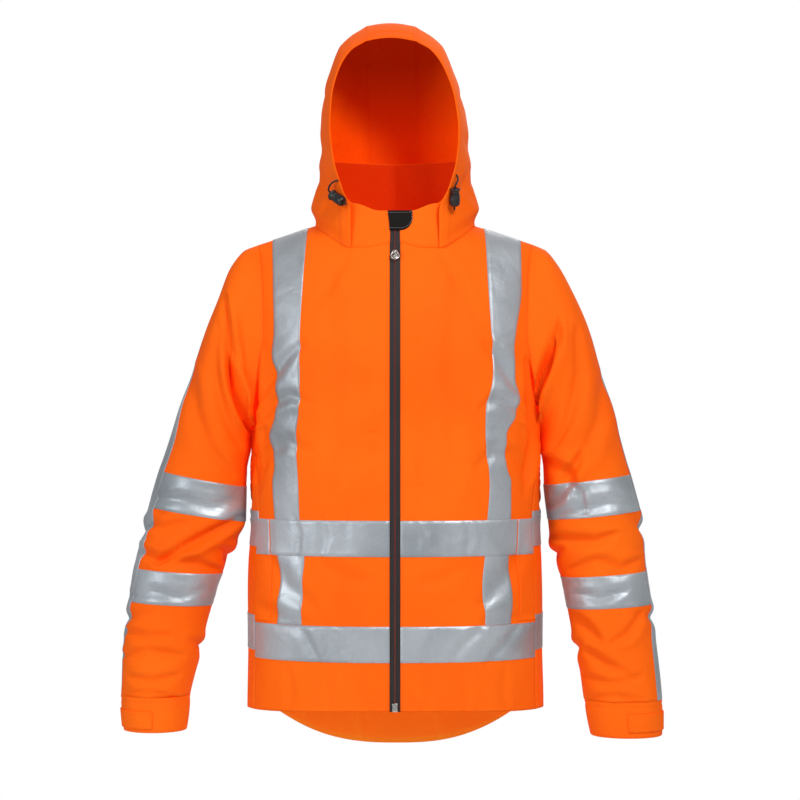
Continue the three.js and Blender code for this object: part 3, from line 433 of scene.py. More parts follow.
# height, then the inner and outer edges of the right and the left shoulder brace
braces = [
    (0, 123, 179, 125, 183),
    (-54, 126.5, 175.5, 129, 180),
    (-100, 130, 173.5, 131, 180),
    (-161, 133, 171, 135, 171),
    (-193, 133.5, 173.5, 138, 168),
    (-226, 133.5, 168, 137, 171),
    (-249, 133.5, 166, 132, 176),
    (-277, 135, 167, 126, 171),
    (-309, 138, 176, 125.5, 155),
    (-351, 136.5, 168, 130.5, 156),
    (-374, 135, 172, 132, 163),
    (-426, 133, 169, 129, 163),
    (-476, 127, 165.5, 126, 161),
    (-517, 130, 162, 122, 163.5),
    (-573, 131, 166, 126.5, 164),
    (-800, 129, 168, 124, 163),
]
bandRows = {"upper": (-426, -476), "lower": (-573, -623), "backStep": 10}
zipHalf = 7.5


def bodyFill(x, z, face):
    top = shoulder["tipZ"] + (shoulder["tipX"] - np.abs(x)) * shoulder["slope"]
    reach = np.where(face < 0, shoulder["frontRoll"], shoulder["backRoll"])
    drop = np.clip((top - z) / reach, 0, 1)
    return np.sqrt(1 - (1 - drop) ** 2)


def bodyDepth(x, z, face):
    full = np.where(face < 0, read(body["table"], z, 2), read(body["table"], z, 3))
    return full * bodyFill(x, z, face)


def bodyY(x, z, face):
    half = read(body["table"], z, 1)
    share = np.clip(1 - (np.abs(x) / half) ** body["power"], 0, None)
    return face * bodyDepth(x, z, face) * share ** (1 / body["power"])


def bodyX(y, z, face):
    half = read(body["table"], z, 1)
    depth = bodyDepth(armhole["waistX"], z, face)
    share = np.clip(1 - (np.abs(y) / depth) ** body["power"], 0, None)
    return half * share ** (1 / body["power"])


# Armhole edge. Degrees run from the shoulder tip, forwards to the underarm or backwards.
def armholeEdge(degrees):
    degrees = np.asarray(degrees, float)
    face = np.where(degrees >= 0, -1.0, 1.0)
    turn = np.abs(degrees)
    middle = (shoulder["tipZ"] + armhole["bottomZ"]) / 2
    rise = (shoulder["tipZ"] - armhole["bottomZ"]) / 2
    z = middle + rise * np.cos(np.radians(turn))
    high = lerp(armhole["waistX"], shoulder["tipX"], (1 - np.minimum(turn, 90) / 90) ** 2)
    waistY = np.abs(bodyY(armhole["waistX"], middle, face))
    y = waistY * np.abs(np.sin(np.radians(turn))) ** armhole["lowCurve"]
    x = np.where(turn <= 90, high, bodyX(y, z, face))
    y = np.where((turn < 1e-6) | (turn > 179.9), 0, bodyY(x, z, face))
    return np.stack([x, y, z], axis=-1)


def shoulderLine(x):
    return shoulder["tipZ"] + (shoulder["tipX"] - np.abs(x)) * shoulder["slope"]


def topEdge(x, neck):
    return np.where(x > body["neckHalf"], shoulderLine(x), read(neck, np.abs(x), 1))


def turnOf(x, half):
    return np.arcsin(np.clip(x / half, 0, 1) ** (body["power"] / 2))


# Height, side edge and its turn for each row of a panel.
def panelRows(rows, step, forward):
    degrees = np.clip(rows, 0, 8) * 22.5
    edge = armholeEdge(degrees if forward else -degrees)
    if not forward:
        edge[0, 1] = 0
    below = [-303, -345, -385, bandRows["upper"][0] + step, bandRows["upper"][1] + step, -525 + step,
             bandRows["lower"][0] + step, bandRows["lower"][1] + step, -662, body["hemSide"]]
    low = rows > 8
    z = np.where(low, np.interp(rows, np.arange(8, 18), below), edge[:, 2])
    half = read(body["table"], z, 1)
    seamY = read(body["sideSeam"], z, 1)
    depth = bodyDepth(200, z, -1)
    seamTurn = np.arccos(np.clip(seamY / depth, 0, 1) ** (body["power"] / 2))
    turn = np.where(low, seamTurn, turnOf(edge[:, 0], half))
    if not forward:
        turn = np.where(low, math.pi - seamTurn, turn)
    turn = np.where(np.abs(rows - 8) < 1e-6, math.pi / 2, turn)
    return edge, z, half, turn


def rowHeights(z, topZ):
    rise = (shoulder["tipZ"] - armhole["bottomZ"]) / 2
    share = smooth((shoulder["tipZ"] - z) / rise)
    return lerp(topZ + (z - shoulder["tipZ"]), z, share)


# Columns at real-valued places between the coarse ones.
def between(coarse, places):
    i = np.clip(places.astype(int), 0, coarse.shape[1] - 2)
    t = places - i
    return coarse[:, i] * (1 - t) + coarse[:, i + 1] * t


rowPlaces, rowMarks = fineSteps([10] * 8 + [9, 9, 9, 10, 10, 10, 10, 9, 10])
frontPlaces, frontMarks = fineSteps([7, 6, 6, 5, 3, 5, 5, 6, 12])
backPlaces, backMarks = fineSteps([5, 5, 5, 5, 5, 5, 8, 10, 10])


def frontGrid(side):
    rows = rowPlaces
    edge, z, half, edgeTurn = panelRows(rows, 0, True)
    share = smooth((shoulder["tipZ"] - z) / 150)
    first = 1 if side < 0 else 3
    braceIn = read(braces, z, first)
    braceOut = read(braces, z, first + 1)
    neck = [zipHalf, 40, 62, 90, body["neckHalf"]]
    low = [zipHalf, 40, 72, 100, 118]
    xs = [lerp(a, b, share) for a, b in zip(neck, low)]
    edgeX = np.where(rows > 8, bodyX(read(body["sideSeam"], z, 1), z, -1), edge[:, 0])
    xs += [braceIn, (braceIn + braceOut) / 2, braceOut, lerp(braceOut, edgeX, 0.33)]
    turns = [turnOf(x, half) for x in xs] + [edgeTurn]
    turn = between(np.stack(turns, axis=1), frontPlaces)
    x = half[:, None] * np.sin(turn) ** (2 / body["power"])
    heights = rowHeights(z[:, None], topEdge(x, body["frontNeck"]))
    last = np.clip(rows - 16, 0, 1)[:, None]
    hemZ = lerp(body["hemFront"], body["hemSide"], (x / edgeX[-1]) ** 2)
    heights = np.where(last > 0, lerp(z[rowMarks[16]], hemZ, last), heights)
    y = bodyY(x, heights, -1)
    y[0] = np.where(x[0] > body["neckHalf"], 0, y[0])
    points = np.stack([x, y, heights], axis=-1)
    onArmhole = rows <= 8
    points[onArmhole, -1] = edge[onArmhole]
    points[..., 0] *= side
    return makeGrid(points, (side * 100, 0, -350))


def backHalf(side):
    rows = rowPlaces
    edge, z, half, edgeTurn = panelRows(rows, bandRows["backStep"], False)
    share = smooth((shoulder["tipZ"] - z) / 150)
    first = 1 if side < 0 else 3
    braceIn = read(braces, z, first)
    braceOut = read(braces, z, first + 1)
    outTurn = turnOf(braceOut, half)
    turns = [lerp(edgeTurn, outTurn, k / 4) for k in range(5)]
    turns.append(turnOf((braceIn + braceOut) / 2, half))
    turns.append(turnOf(braceIn, half))
    turns += [turnOf(lerp(a, b, share), half) for a, b in ((115, 92), (60, 46), (0, 0))]
    turn = between(np.stack(turns, axis=1), backPlaces)
    x = half[:, None] * np.sin(np.minimum(turn, math.pi - turn)) ** (2 / body["power"])
    face = np.where(turn > math.pi / 2, -1.0, 1.0)
    heights = rowHeights(z[:, None], topEdge(x, body["backNeck"]))
    last = np.clip(rows - 16, 0, 1)[:, None]
    tailZ = lerp(body["tail"], body["tailSide"], np.clip(x / body["tailHalf"], 0, 1) ** body["tailPower"])
    past = np.clip((turn - math.pi / 2) / np.maximum(edgeTurn[:, None] - math.pi / 2, 1e-3), 0, 1)
    tailZ = lerp(tailZ, body["hemSide"], smooth(past))
    heights = np.where(last > 0, lerp(z[rowMarks[16]], tailZ, last), heights)
    y = bodyY(x, heights, face)
    y[0] = np.where(x[0] > body["neckHalf"], 0, y[0])
    points = np.stack([x, y, heights], axis=-1)
    onArmhole = rows <= 8
    points[onArmhole, 0] = edge[onArmhole]
    points[..., 0] *= side
    return points


def backGrid():
    right = backHalf(-1)
    left = backHalf(1)[:, :-1][:, ::-1]
    return makeGrid(np.concatenate([right, left], axis=1), (0, -40, -350))


# Sleeves

# outer point, inner point, half depth and how far forward the arm's middle is
sleeves = {
    "wall": 1.3,
    "power": 2.2,
    "right": [
        (216, -41, 210.5, -309, 60, 1), (237, -66, 212, -314, 64, 1),
        (256, -113, 213, -321, 68, 0), (274, -158, 213.5, -331, 70, -1),
        (290, -208, 214, -345, 71, -2), (307, -258, 214.5, -362, 71, -2),
        (322, -305, 215, -373, 71, -3), (340, -359, 215.5, -383, 70, -3),
        (355, -411, 217, -433, 68, -4), (364, -443, 229, -458, 67, -3),
        (370, -471.5, 240, -482.5, 65, -2), (376, -499, 252, -507, 63, 1),
        (383, -546.5, 265, -552.5, 60, 5), (389, -590.5, 276, -595.5, 57, 11),
        (392, -635.5, 284, -638.5, 54, 17), (393, -680, 294, -680, 51, 23),
    ],
    "left": [
        (216, -41, 210.5, -309, 60, 1), (238, -66, 212, -314, 64, 1),
        (262, -113, 213, -321, 68, 0), (279, -158, 213.5, -331, 70, -1),
        (294, -208, 214, -345, 71, -2), (310, -258, 214.5, -358, 71, -2),
        (324, -310, 215, -368, 71, -3), (340, -365, 215.5, -380, 70, -3),
        (353, -417, 222, -430, 68, -3), (358, -446, 225, -458, 66, -2),
        (361, -474.5, 231, -485.5, 64, 1), (363, -503, 241, -512, 62, 5),
        (368, -550.5, 249, -556.5, 59, 10), (373, -594.5, 255, -598.5, 57, 16),
        (378, -640.5, 264, -642.5, 54, 22), (382, -686, 271, -686, 51, 28),
    ],
    # height, then degrees of the strip's front edge on the right and the left sleeve
    "strip": [(-34, 0, 0), (-113, -5, -4), (-208, 8, 10), (-300, 36, 17), (-430, 36, 18), (-500, 34, 18),
              (-560, 30, 24), (-610, 20, 34), (-690, 4, 35)],
    "stripWidth": 50,
    "bandUpper": (8, 9),
    "bandLower": (12, 13),
}
cuffs = {
    "wall": 1.5,
    "right": {"outX": 389, "inX": 299, "bottomZ": -729, "half": 47, "forward": 26, "tab": (-699, -724)},
    "left": {"outX": 382, "inX": 280, "bottomZ": -736, "half": 47, "forward": 32, "tab": (-702, -729)},
}


def roundedPoint(section, degrees):
    outX, outZ, inX, inZ, half, forward = section
    angle = np.radians(degrees)
    power = 2 / sleeves["power"]
    out = np.sign(np.cos(angle)) * np.abs(np.cos(angle)) ** power
    deep = np.sign(np.sin(angle)) * np.abs(np.sin(angle)) ** power
    t = (1 + out) / 2
    return np.stack([lerp(inX, outX, t), -forward - half * deep, lerp(inZ, outZ, t)], axis=-1)


def stripTurn(section, edge):
    degrees = edge - np.arange(0, 121)
    steps = np.linalg.norm(np.diff(roundedPoint(section, degrees), axis=0), axis=1)
    return int(np.searchsorted(np.cumsum(steps), sleeves["stripWidth"])) + 1


sleevePlaces, sleeveMarks = fineSteps([5] * 14 + [6, 6])
sleevePlaces = sleevePlaces[:-1]
sleeveRows, sleeveRowMarks = fineSteps([5, 8] + [10] * 14)


def ringPoints(name, section):
    edge = float(read(sleeves["strip"], section[1], 1 if name == "right" else 2))
    width = stripTurn(section, edge)
    step = (360 - width) / 14
    low = edge + sleevePlaces * step
    high = edge + 14 * step + (sleevePlaces - 14) / 2 * width
    return roundedPoint(section, np.where(sleevePlaces <= 14, low, high))


def sleeveGrid(side):
    name = "right" if side < 0 else "left"
    turn = np.where(sleevePlaces <= 8, sleevePlaces * 22.5, (sleevePlaces - 16) * 22.5)
    rings = [armholeEdge(turn)] + [ringPoints(name, section) for section in sleeves[name]]
    rings = np.array(rings)
    keys = np.arange(len(rings), dtype=float)
    flat = rings.reshape(len(rings), -1)
    step = np.diff(flat, axis=0)
    agree = step[:-1] * step[1:] > 0
    total = np.where(agree, step[:-1] + step[1:], 1.0)
    tangent = np.vstack([step[:1], np.where(agree, 2 * step[:-1] * step[1:] / total, 0), step[-1:]])
    i = np.clip(sleeveRows.astype(int), 0, len(keys) - 2)
    t = (sleeveRows - i)[:, None]
    points = (1 + 2 * t) * (1 - t) ** 2 * flat[i] + t * t * (3 - 2 * t) * flat[i + 1]
    points += t * (1 - t) ** 2 * tangent[i] + t * t * (t - 1) * tangent[i + 1]
    points = points.reshape(len(sleeveRows), -1, 3)
    points[..., 0] *= side
    grid = makeGrid(points, (side * 290, 0, -380), True)
    return grid


def cuffGrid(side):
    name = "right" if side < 0 else "left"
    cuff = cuffs[name]
    seam = sleeves[name][-1]
    goal = (cuff["outX"], cuff["bottomZ"], cuff["inX"], cuff["bottomZ"], cuff["half"], cuff["forward"])
    start = (seam[0], seam[1] - 0.6, seam[2], seam[1] - 0.6, seam[4], seam[5])
    angles = np.arange(0, 80) * 4.5
    rings = []
    for t in np.linspace(0, 1, 19):
        section = [lerp(a, b, t) for a, b in zip(start, goal)]
        rings.append(roundedPoint(section, angles))
    points = np.array(rings)
    points[..., 0] *= side
    return makeGrid(points, (side * 335, -25, -715), True)


# Folds of the body, sleeves and hood, each drawn one by one

foldDepths = {"body": 1.9, "sleeve": 2.3, "hood": 0.85}
bodyFolds = [
    # pulls that run from the armholes into the hollows beside the chest
    ("front", 7, 5.4, 0.4, [(-196, -190), (-202, -250), (-206, -310), (-198, -372)]),
    ("front", 9, 2.2, 0.4, [(-184, -300), (-192, -340), (-196, -390)]),
    ("front", 7, 5.4, 0.4, [(188, -200), (194, -256), (198, -312), (188, -375)]),
    ("front", 9, 2.2, 0.4, [(180, -296), (186, -340), (184, -392)]),
    # slants over the shoulder braces
    ("front", 9, 2.6, 0.5, [(-128, -178), (-150, -196), (-182, -236), (-196, -270)]),
    ("front", 8, 2.2, 0.5, [(-122, -262), (-146, -252), (-172, -262), (-192, -290)]),
    ("front", 10, 2.0, 0.4, [(-120, -330), (-150, -316), (-176, -330), (-190, -362)]),
    ("front", 9, 2.6, 0.5, [(124, -176), (148, -200), (168, -232), (186, -262)]),
    ("front", 8, 2.2, 0.5, [(118, -270), (140, -256), (164, -262), (184, -286)]),
    ("front", 10, 2.0, 0.4, [(112, -352), (138, -330), (166, -336), (188, -366)]),
    # long soft falls over the chest and belly
    ("front", 17, 1.8, 0.35, [(-92, -80), (-88, -170), (-84, -280), (-92, -390)]),
    ("front", 15, 1.6, 0.35, [(-46, -230), (-40, -330), (-46, -420)]),
    ("front", 17, 1.7, 0.35, [(86, -90), (82, -190), (84, -300), (78, -400)]),
    ("front", 14, 1.5, 0.35, [(44, -260), (38, -350), (44, -440)]),
    ("front", 13, 2.2, 0.4, [(-176, -480), (-150, -520), (-112, -548)]),
    ("front", 12, 1.9, 0.4, [(-190, -548), (-158, -566), (-120, -570)]),
    ("front", 13, 2.2, 0.4, [(180, -470), (152, -512), (118, -545)]),
    ("front", 12, 1.9, 0.4, [(196, -560), (160, -572), (126, -566)]),
    ("front", 11, 1.5, 0.4, [(-100, -486), (-70, -505), (-34, -510)]),
    ("front", 11, 1.4, 0.4, [(96, -490), (66, -508), (32, -514)]),
    # puckers above the hem and beside the zip
    ("front", 6, 1.3, 0.5, [(-14, -655), (-20, -676), (-20, -690)]),
    ("front", 6, 1.2, 0.5, [(-42, -640), (-46, -668), (-44, -690)]),
    ("front", 7, 1.3, 0.5, [(-88, -632), (-94, -664), (-92, -692)]),
    ("front", 7, 1.2, 0.5, [(-150, -634), (-146, -666), (-150, -694)]),
    ("front", 6, 1.3, 0.5, [(15, -652), (21, -674), (20, -690)]),
    ("front", 6, 1.2, 0.5, [(46, -640), (48, -668), (45, -690)]),
    ("front", 7, 1.3, 0.5, [(96, -632), (100, -664), (98, -692)]),
    ("front", 7, 1.2, 0.5, [(156, -634), (152, -668), (158, -694)]),
    ("front", 5, 1.0, 0.5, [(-11, -120), (-22, -128), (-36, -128)]),
    ("front", 5, 0.9, 0.5, [(11, -170), (22, -178), (38, -177)]),
    ("front", 5, 0.9, 0.5, [(-11, -300), (-24, -306), (-38, -304)]),
    ("front", 5, 0.9, 0.5, [(11, -372), (24, -380), (40, -378)]),
    # short rumples under the tapes round the waist
    ("front", 5, 1.1, 0.5, [(-140, -420), (-134, -448), (-137, -482)]),
    ("front", 6, 1.3, 0.5, [(-104, -418), (-98, -450), (-106, -484)]),
    ("front", 5, 1.0, 0.5, [(-66, -422), (-69, -452), (-62, -482)]),
    ("front", 5, 1.2, 0.5, [(26, -420), (31, -448), (27, -480)]),
    ("front", 6, 1.2, 0.5, [(64, -418), (57, -450), (62, -486)]),
    ("front", 5, 1.1, 0.5, [(98, -422), (105, -450), (99, -480)]),
    ("front", 6, 1.5, 0.5, [(-150, -566), (-124, -588), (-104, -628)]),
    ("front", 5, 1.2, 0.5, [(-96, -566), (-74, -596), (-62, -630)]),
    ("front", 5, 1.1, 0.5, [(-52, -570), (-36, -600), (-30, -628)]),
    ("front", 5, 1.2, 0.5, [(34, -628), (48, -598), (70, -568)]),
    ("front", 6, 1.5, 0.5, [(72, -630), (96, -598), (128, -568)]),
    ("front", 6, 1.3, 0.5, [(126, -630), (148, -604), (176, -574)]),
    # pulls from the neckline towards the braces
    ("front", 9, 1.7, 0.4, [(-66, -52), (-88, -88), (-116, -132)]),
    ("front", 9, 1.7, 0.4, [(66, -52), (90, -92), (114, -140)]),
    # the back hangs in long falls, with slants over the shoulder blades and at the waist
    ("back", 15, 3.0, 0.4, [(-60, -60), (-74, -170), (-70, -290), (-84, -400)]),
    ("back", 16, 2.8, 0.4, [(48, -70), (64, -190), (58, -310), (72, -410)]),
    ("back", 12, 2.0, 0.4, [(-8, -120), (-14, -230), (-4, -330)]),
    ("back", 11, 3.0, 0.5, [(-196, -200), (-170, -262), (-128, -306), (-92, -326)]),
    ("back", 10, 2.6, 0.5, [(-200, -270), (-172, -330), (-136, -366)]),
    ("back", 11, 3.0, 0.5, [(196, -190), (168, -250), (130, -296), (88, -322)]),
    ("back", 10, 2.6, 0.5, [(200, -262), (176, -322), (132, -360)]),
    ("back", 12, 2.2, 0.4, [(-190, -478), (-130, -512), (-60, -528), (6, -520)]),
    ("back", 12, 2.0, 0.4, [(188, -470), (136, -500), (74, -512)]),
    ("back", 10, 1.8, 0.4, [(-120, -546), (-60, -556), (10, -550)]),
    ("back", 9, 1.8, 0.4, [(-140, -634), (-132, -680), (-140, -730)]),
    ("back", 9, 1.8, 0.4, [(-52, -640), (-60, -700), (-52, -762)]),
    ("back", 9, 1.8, 0.4, [(64, -640), (60, -702), (70, -760)]),
    ("back", 9, 1.6, 0.4, [(144, -636), (150, -684), (144, -724)]),
    # under the arms
    ("left", 8, 2.6, 0.5, [(-30, -330), (-14, -400), (10, -440)]),
    ("left", 8, 2.4, 0.5, [(40, -340), (24, -396), (-6, -420)]),
    ("right", 8, 2.6, 0.5, [(-32, -334), (-12, -398), (14, -436)]),
    ("right", 8, 2.4, 0.5, [(42, -336), (20, -400), (-8, -424)]),
]
sleeveFolds = {
    "right": [
        # from the shoulder down into the underarm
        ("front", 8, 5.2, 0.5, [(-243, -112), (-239, -170), (-229, -232), (-216, -280)]),
        ("front", 9, 2.6, 0.5, [(-252, -150), (-256, -214), (-240, -282), (-222, -322)]),
        ("front", 11, 2.4, 0.5, [(-292, -210), (-284, -276), (-262, -330), (-232, -366)]),
        ("front", 6, 6.5, 0.8, [(-236, -200), (-230, -238), (-219, -274), (-209, -302)]),
        # elbow
        ("front", 7, 5.2, 0.7, [(-216, -424), (-258, -446), (-304, -470), (-342, -490)]),
        ("front", 8, 2.6, 0.5, [(-340, -398), (-306, -398), (-262, -410), (-226, -400)]),
        ("front", 9, 3.0, 0.5, [(-372, -470), (-336, -486), (-292, -488), (-256, -500)]),
        ("front", 7, 2.0, 0.5, [(-366, -436), (-330, -440), (-298, -432)]),
        ("front", 7, 2.2, 0.5, [(-382, -540), (-346, -530), (-304, -536), (-272, -528)]),
        # forearm
        ("front", 8, 2.6, 0.5, [(-386, -588), (-352, -596), (-318, -592)]),
        ("front", 8, 2.8, 0.6, [(-390, -624), (-350, -614), (-300, -622)]),
        ("front", 7, 2.4, 0.6, [(-380, -650), (-346, -658), (-306, -648)]),
        ("front", 6, 2.0, 0.6, [(-386, -676), (-350, -672), (-310, -680)]),
        ("back", 9, 4.0, 0.6, [(-228, -300), (-262, -340), (-310, -366), (-344, -372)]),
        ("back", 10, 3.0, 0.5, [(-240, -240), (-270, -290), (-306, -316)]),
        ("back", 8, 3.4, 0.6, [(-240, -470), (-280, -468), (-330, -490), (-366, -486)]),
        ("back", 8, 2.8, 0.5, [(-262, -530), (-300, -540), (-350, -534)]),
        ("back", 8, 2.8, 0.5, [(-286, -610), (-330, -620), (-376, -612)]),
        ("back", 7, 2.2, 0.5, [(-300, -660), (-340, -654), (-380, -664)]),
        ("left", 20, -2.2, 0.0, [(-50, -330), (0, -326), (50, -330)]),
        ("right", 9, 2.6, 0.5, [(-50, -420), (-10, -450), (40, -440)]),
        ("right", 8, 2.2, 0.5, [(-60, -560), (-20, -574), (26, -560)]),
        ("left", 9, 3.4, 0.5, [(-40, -470), (0, -490), (40, -470)]),
        ("left", 8, 2.6, 0.5, [(-50, -600), (-10, -616), (30, -604)]),
    ],
    "left": [
        ("front", 8, 5.6, 0.5, [(234, -150), (222, -196), (209, -240), (202, -276)]),
        ("front", 9, 2.6, 0.5, [(258, -156), (262, -220), (246, -286), (226, -326)]),
        ("front", 11, 2.4, 0.5, [(300, -220), (292, -284), (268, -336), (238, -370)]),
        ("front", 6, 6.5, 0.8, [(225, -176), (211, -222), (203, -260), (200, -292)]),
        # elbow, with its deep notch at the inside of the arm
        ("front", 8, 2.4, 0.6, [(236, -428), (268, -413), (302, -404), (340, -408)]),
        ("front", 9, 3.0, 0.6, [(224, -452), (250, -458), (284, -460), (314, -448)]),
        ("front", 8, 3.2, 0.6, [(206, -336), (238, -356), (262, -392), (268, -420)]),
        ("front", 8, 3.0, 0.6, [(262, -336), (250, -364), (236, -392), (222, -412)]),
        ("front", 9, 2.6, 0.5, [(250, -500), (286, -486), (322, -498), (350, -486)]),
        ("front", 7, 2.2, 0.5, [(256, -532), (292, -538), (330, -526)]),
        # forearm
        ("front", 8, 3.2, 0.6, [(252, -562), (272, -580), (292, -600)]),
        ("front", 8, 3.2, 0.6, [(270, -612), (298, -632), (330, -646)]),
        ("front", 7, 2.4, 0.6, [(352, -560), (330, -590), (304, -604)]),
        ("front", 7, 2.2, 0.5, [(268, -650), (306, -660), (350, -648)]),
        ("front", 6, 2.0, 0.6, [(276, -682), (310, -676), (352, -684)]),
        ("back", 9, 4.0, 0.6, [(226, -300), (262, -336), (306, -362), (340, -372)]),
        ("back", 10, 3.0, 0.5, [(240, -236), (270, -286), (308, -310)]),
        ("back", 8, 3.4, 0.6, [(238, -470), (276, -464), (322, -482), (356, -484)]),
        ("back", 8, 2.8, 0.5, [(250, -530), (296, -544), (340, -530)]),
        ("back", 8, 2.8, 0.5, [(268, -612), (310, -622), (356, -610)]),
        ("back", 7, 2.2, 0.5, [(282, -664), (320, -656), (364, -668)]),
        ("right", 20, -2.2, 0.0, [(-50, -326), (0, -322), (50, -326)]),
        ("left", 9, 2.6, 0.5, [(-54, -416), (-12, -446), (38, -436)]),
        ("left", 8, 2.2, 0.5, [(-62, -560), (-24, -572), (24, -562)]),
        ("right", 9, 3.4, 0.5, [(-40, -470), (0, -486), (40, -468)]),
        ("right", 8, 2.6, 0.5, [(-50, -604), (-14, -618), (28, -606)]),
    ],
}
hoodFolds = [
    ("front", 7, 2.2, 0.5, [(-106, 6), (-90, 26), (-80, 44)]),
    ("front", 7, 2.0, 0.5, [(-114, 26), (-98, 44), (-90, 66)]),
    ("front", 7, 2.2, 0.5, [(106, 4), (92, 24), (84, 46)]),
    ("front", 7, 2.0, 0.5, [(116, 24), (100, 44), (92, 68)]),
    ("right", 12, 3.0, 0.5, [(-70, 30), (-20, 60), (40, 66)]),
    ("right", 13, 2.6, 0.4, [(-60, 110), (-10, 100), (50, 120)]),
    ("right", 11, 2.4, 0.4, [(-40, 190), (10, 176), (64, 186)]),
    ("right", 9, 2.4, 0.5, [(20, 10), (50, 30), (76, 34)]),
    ("left", 12, 3.0, 0.5, [(-72, 34), (-24, 62), (36, 62)]),
    ("left", 13, 2.6, 0.4, [(-62, 116), (-14, 104), (46, 118)]),
    ("left", 11, 2.4, 0.4, [(-42, 186), (8, 178), (60, 190)]),
    ("left", 9, 2.4, 0.5, [(18, 8), (48, 28), (74, 36)]),
]


# Laying out the body and sleeves

back = backGrid()
fronts = {}
sleeveGrids = {}
for side, name in ((-1, "right"), (1, "left")):
    fronts[name] = frontGrid(side)
    sleeveGrids[name] = sleeveGrid(side)


def border(grid, rows, cols):
    return {"p": grid["p"][rows, cols], "n": grid["n"][rows, cols]}


def putBack(grid, rows, cols, edge):
    grid["n"][rows, cols] = edge["n"]


def joinBorders(first, firstAt, second, secondAt):
    one = border(first, *firstAt)
    two = border(second, *secondAt)
    shareBorder(one, two)
    putBack(first, *firstAt, one)
    putBack(second, *secondAt, two)


armRow = rowMarks[8]
allRows = slice(None)
for side, name in ((-1, "right"), (1, "left")):
    backCol = 0 if side < 0 else back["p"].shape[1] - 1
    joinBorders(fronts[name], (allRows, -1), back, (allRows, backCol))
    joinBorders(fronts[name], (slice(0, armRow + 1), -1), sleeveGrids[name], (0, allRows))
    joinBorders(back, (slice(0, armRow + 1), backCol), sleeveGrids[name], (0, allRows))
for grid in (*fronts.values(), back):
    topX = grid["p"][0, :, 0]
    ridge = (np.abs(grid["p"][0, :, 1]) < 0.01) & (np.abs(topX) > body["neckHalf"] - 1)
    square = np.stack([np.sign(topX) * shoulder["slope"], np.zeros(len(ridge)), np.ones(len(ridge))], 1)
    grid["n"][0][ridge] = unit(square)[ridge]

for name, grid in fronts.items():
    nearZip = smooth((np.abs(grid["p"][..., 0]) - 9) / 26)
    applyFolds(grid, bodyFolds, foldDepths["body"], nearZip)
applyFolds(back, bodyFolds, foldDepths["body"])
for name, grid in sleeveGrids.items():
    applyFolds(grid, sleeveFolds[name], foldDepths["sleeve"])
print("stage: body and sleeves laid out")

pieces = {}
stitchLines = {"shell": [], "tape": []}


# A line over a grid, between real-valued rows or columns, lifted off it.
def lineOn(grid, rows, cols, lift):
    rows = np.asarray(rows, float)
    cols = np.asarray(cols, float)
    rows, cols = np.broadcast_arrays(rows, cols)
    count = grid["p"].shape
    r = np.clip(rows.astype(int), 0, count[0] - 2)
    c = np.clip(cols.astype(int), 0, count[1] - 2)
    u = (rows - r)[:, None]
    v = (cols - c)[:, None]
    total = 0
    for key, share in (("p", 1.0), ("n", lift)):
        g = grid[key]
        low = g[r, c] * (1 - v) + g[r, c + 1] * v
        high = g[r + 1, c] * (1 - v) + g[r + 1, c + 1] * v
        total = total + (low * (1 - u) + high * u) * share
    return total


# How many grid steps a distance is, along or across a grid, near one of its edges.
def stepsFor(grid, axis, distance):
    steps = np.linalg.norm(np.diff(grid["p"], axis=axis), axis=-1)
    return distance / float(np.median(steps))


# Stitches along the chosen edges of a grid, set in from them.
def stitchEdges(grid, edges, lift, kind, inset=None):
    inset = tape["stitchIn"] if inset is None else inset
    rows, cols = grid["p"].shape[:2]
    down = np.linspace(0.4, rows - 1.4, rows)
    across = np.linspace(0.4, cols - 1.4, cols)
    inRow = stepsFor(grid, 0, inset)
    inCol = stepsFor(grid, 1, inset)
    places = {
        "top": (inRow, across), "bottom": (rows - 1 - inRow, across),
        "first": (down, inCol), "last": (down, cols - 1 - inCol),
    }
    for edge in edges:
        stitchLines[kind].append(lineOn(grid, *places[edge], lift))


def trim(grid, edges, gap):
    points = grid["p"].copy()
    source = grid["p"]
    for edge in edges:
        here, there = {
            "top": (np.s_[0], np.s_[1]), "bottom": (np.s_[-1], np.s_[-2]),
            "first": (np.s_[:, 0], np.s_[:, 1]), "last": (np.s_[:, -1], np.s_[:, -2]),
        }[edge]
        points[here] += unit(source[there] - source[here]) * gap
    return {**grid, "p": points}


def tapePiece(name, grid, trims=(), over=None, stitched=()):
    grid = trim(grid, trims, tape["trim"])
    lay = np.full(grid["p"].shape[:2], tape["lay"])
    if over is not None:
        lay = lay + tape["step"] * over
    pieces[name] = clothPiece(name + "_tape", grid, lay, lay + tape["wall"], edge=tape["edge"])
    top = float(lay.max()) + tape["wall"] + 0.05 if over is None else tape["lay"] + tape["wall"] + 0.05
    if over is None:
        stitchEdges(grid, stitched, top, "tape")
        return
    raised = {**grid, "p": grid["p"] + grid["n"] * (lay - tape["lay"])[..., None]}
    stitchEdges(raised, stitched, tape["lay"] + tape["wall"] + 0.05, "tape")


def ramp(count, marks, blur=2):
    line = np.zeros(count)
    for first, last in marks:
        line[max(0, first - 1):last + 2] = 1
    for _ in range(blur):
        line = np.convolve(np.pad(line, 1, mode="edge"), (0.25, 0.5, 0.25), mode="valid")
    return line


# Front panels, with their tapes and pockets

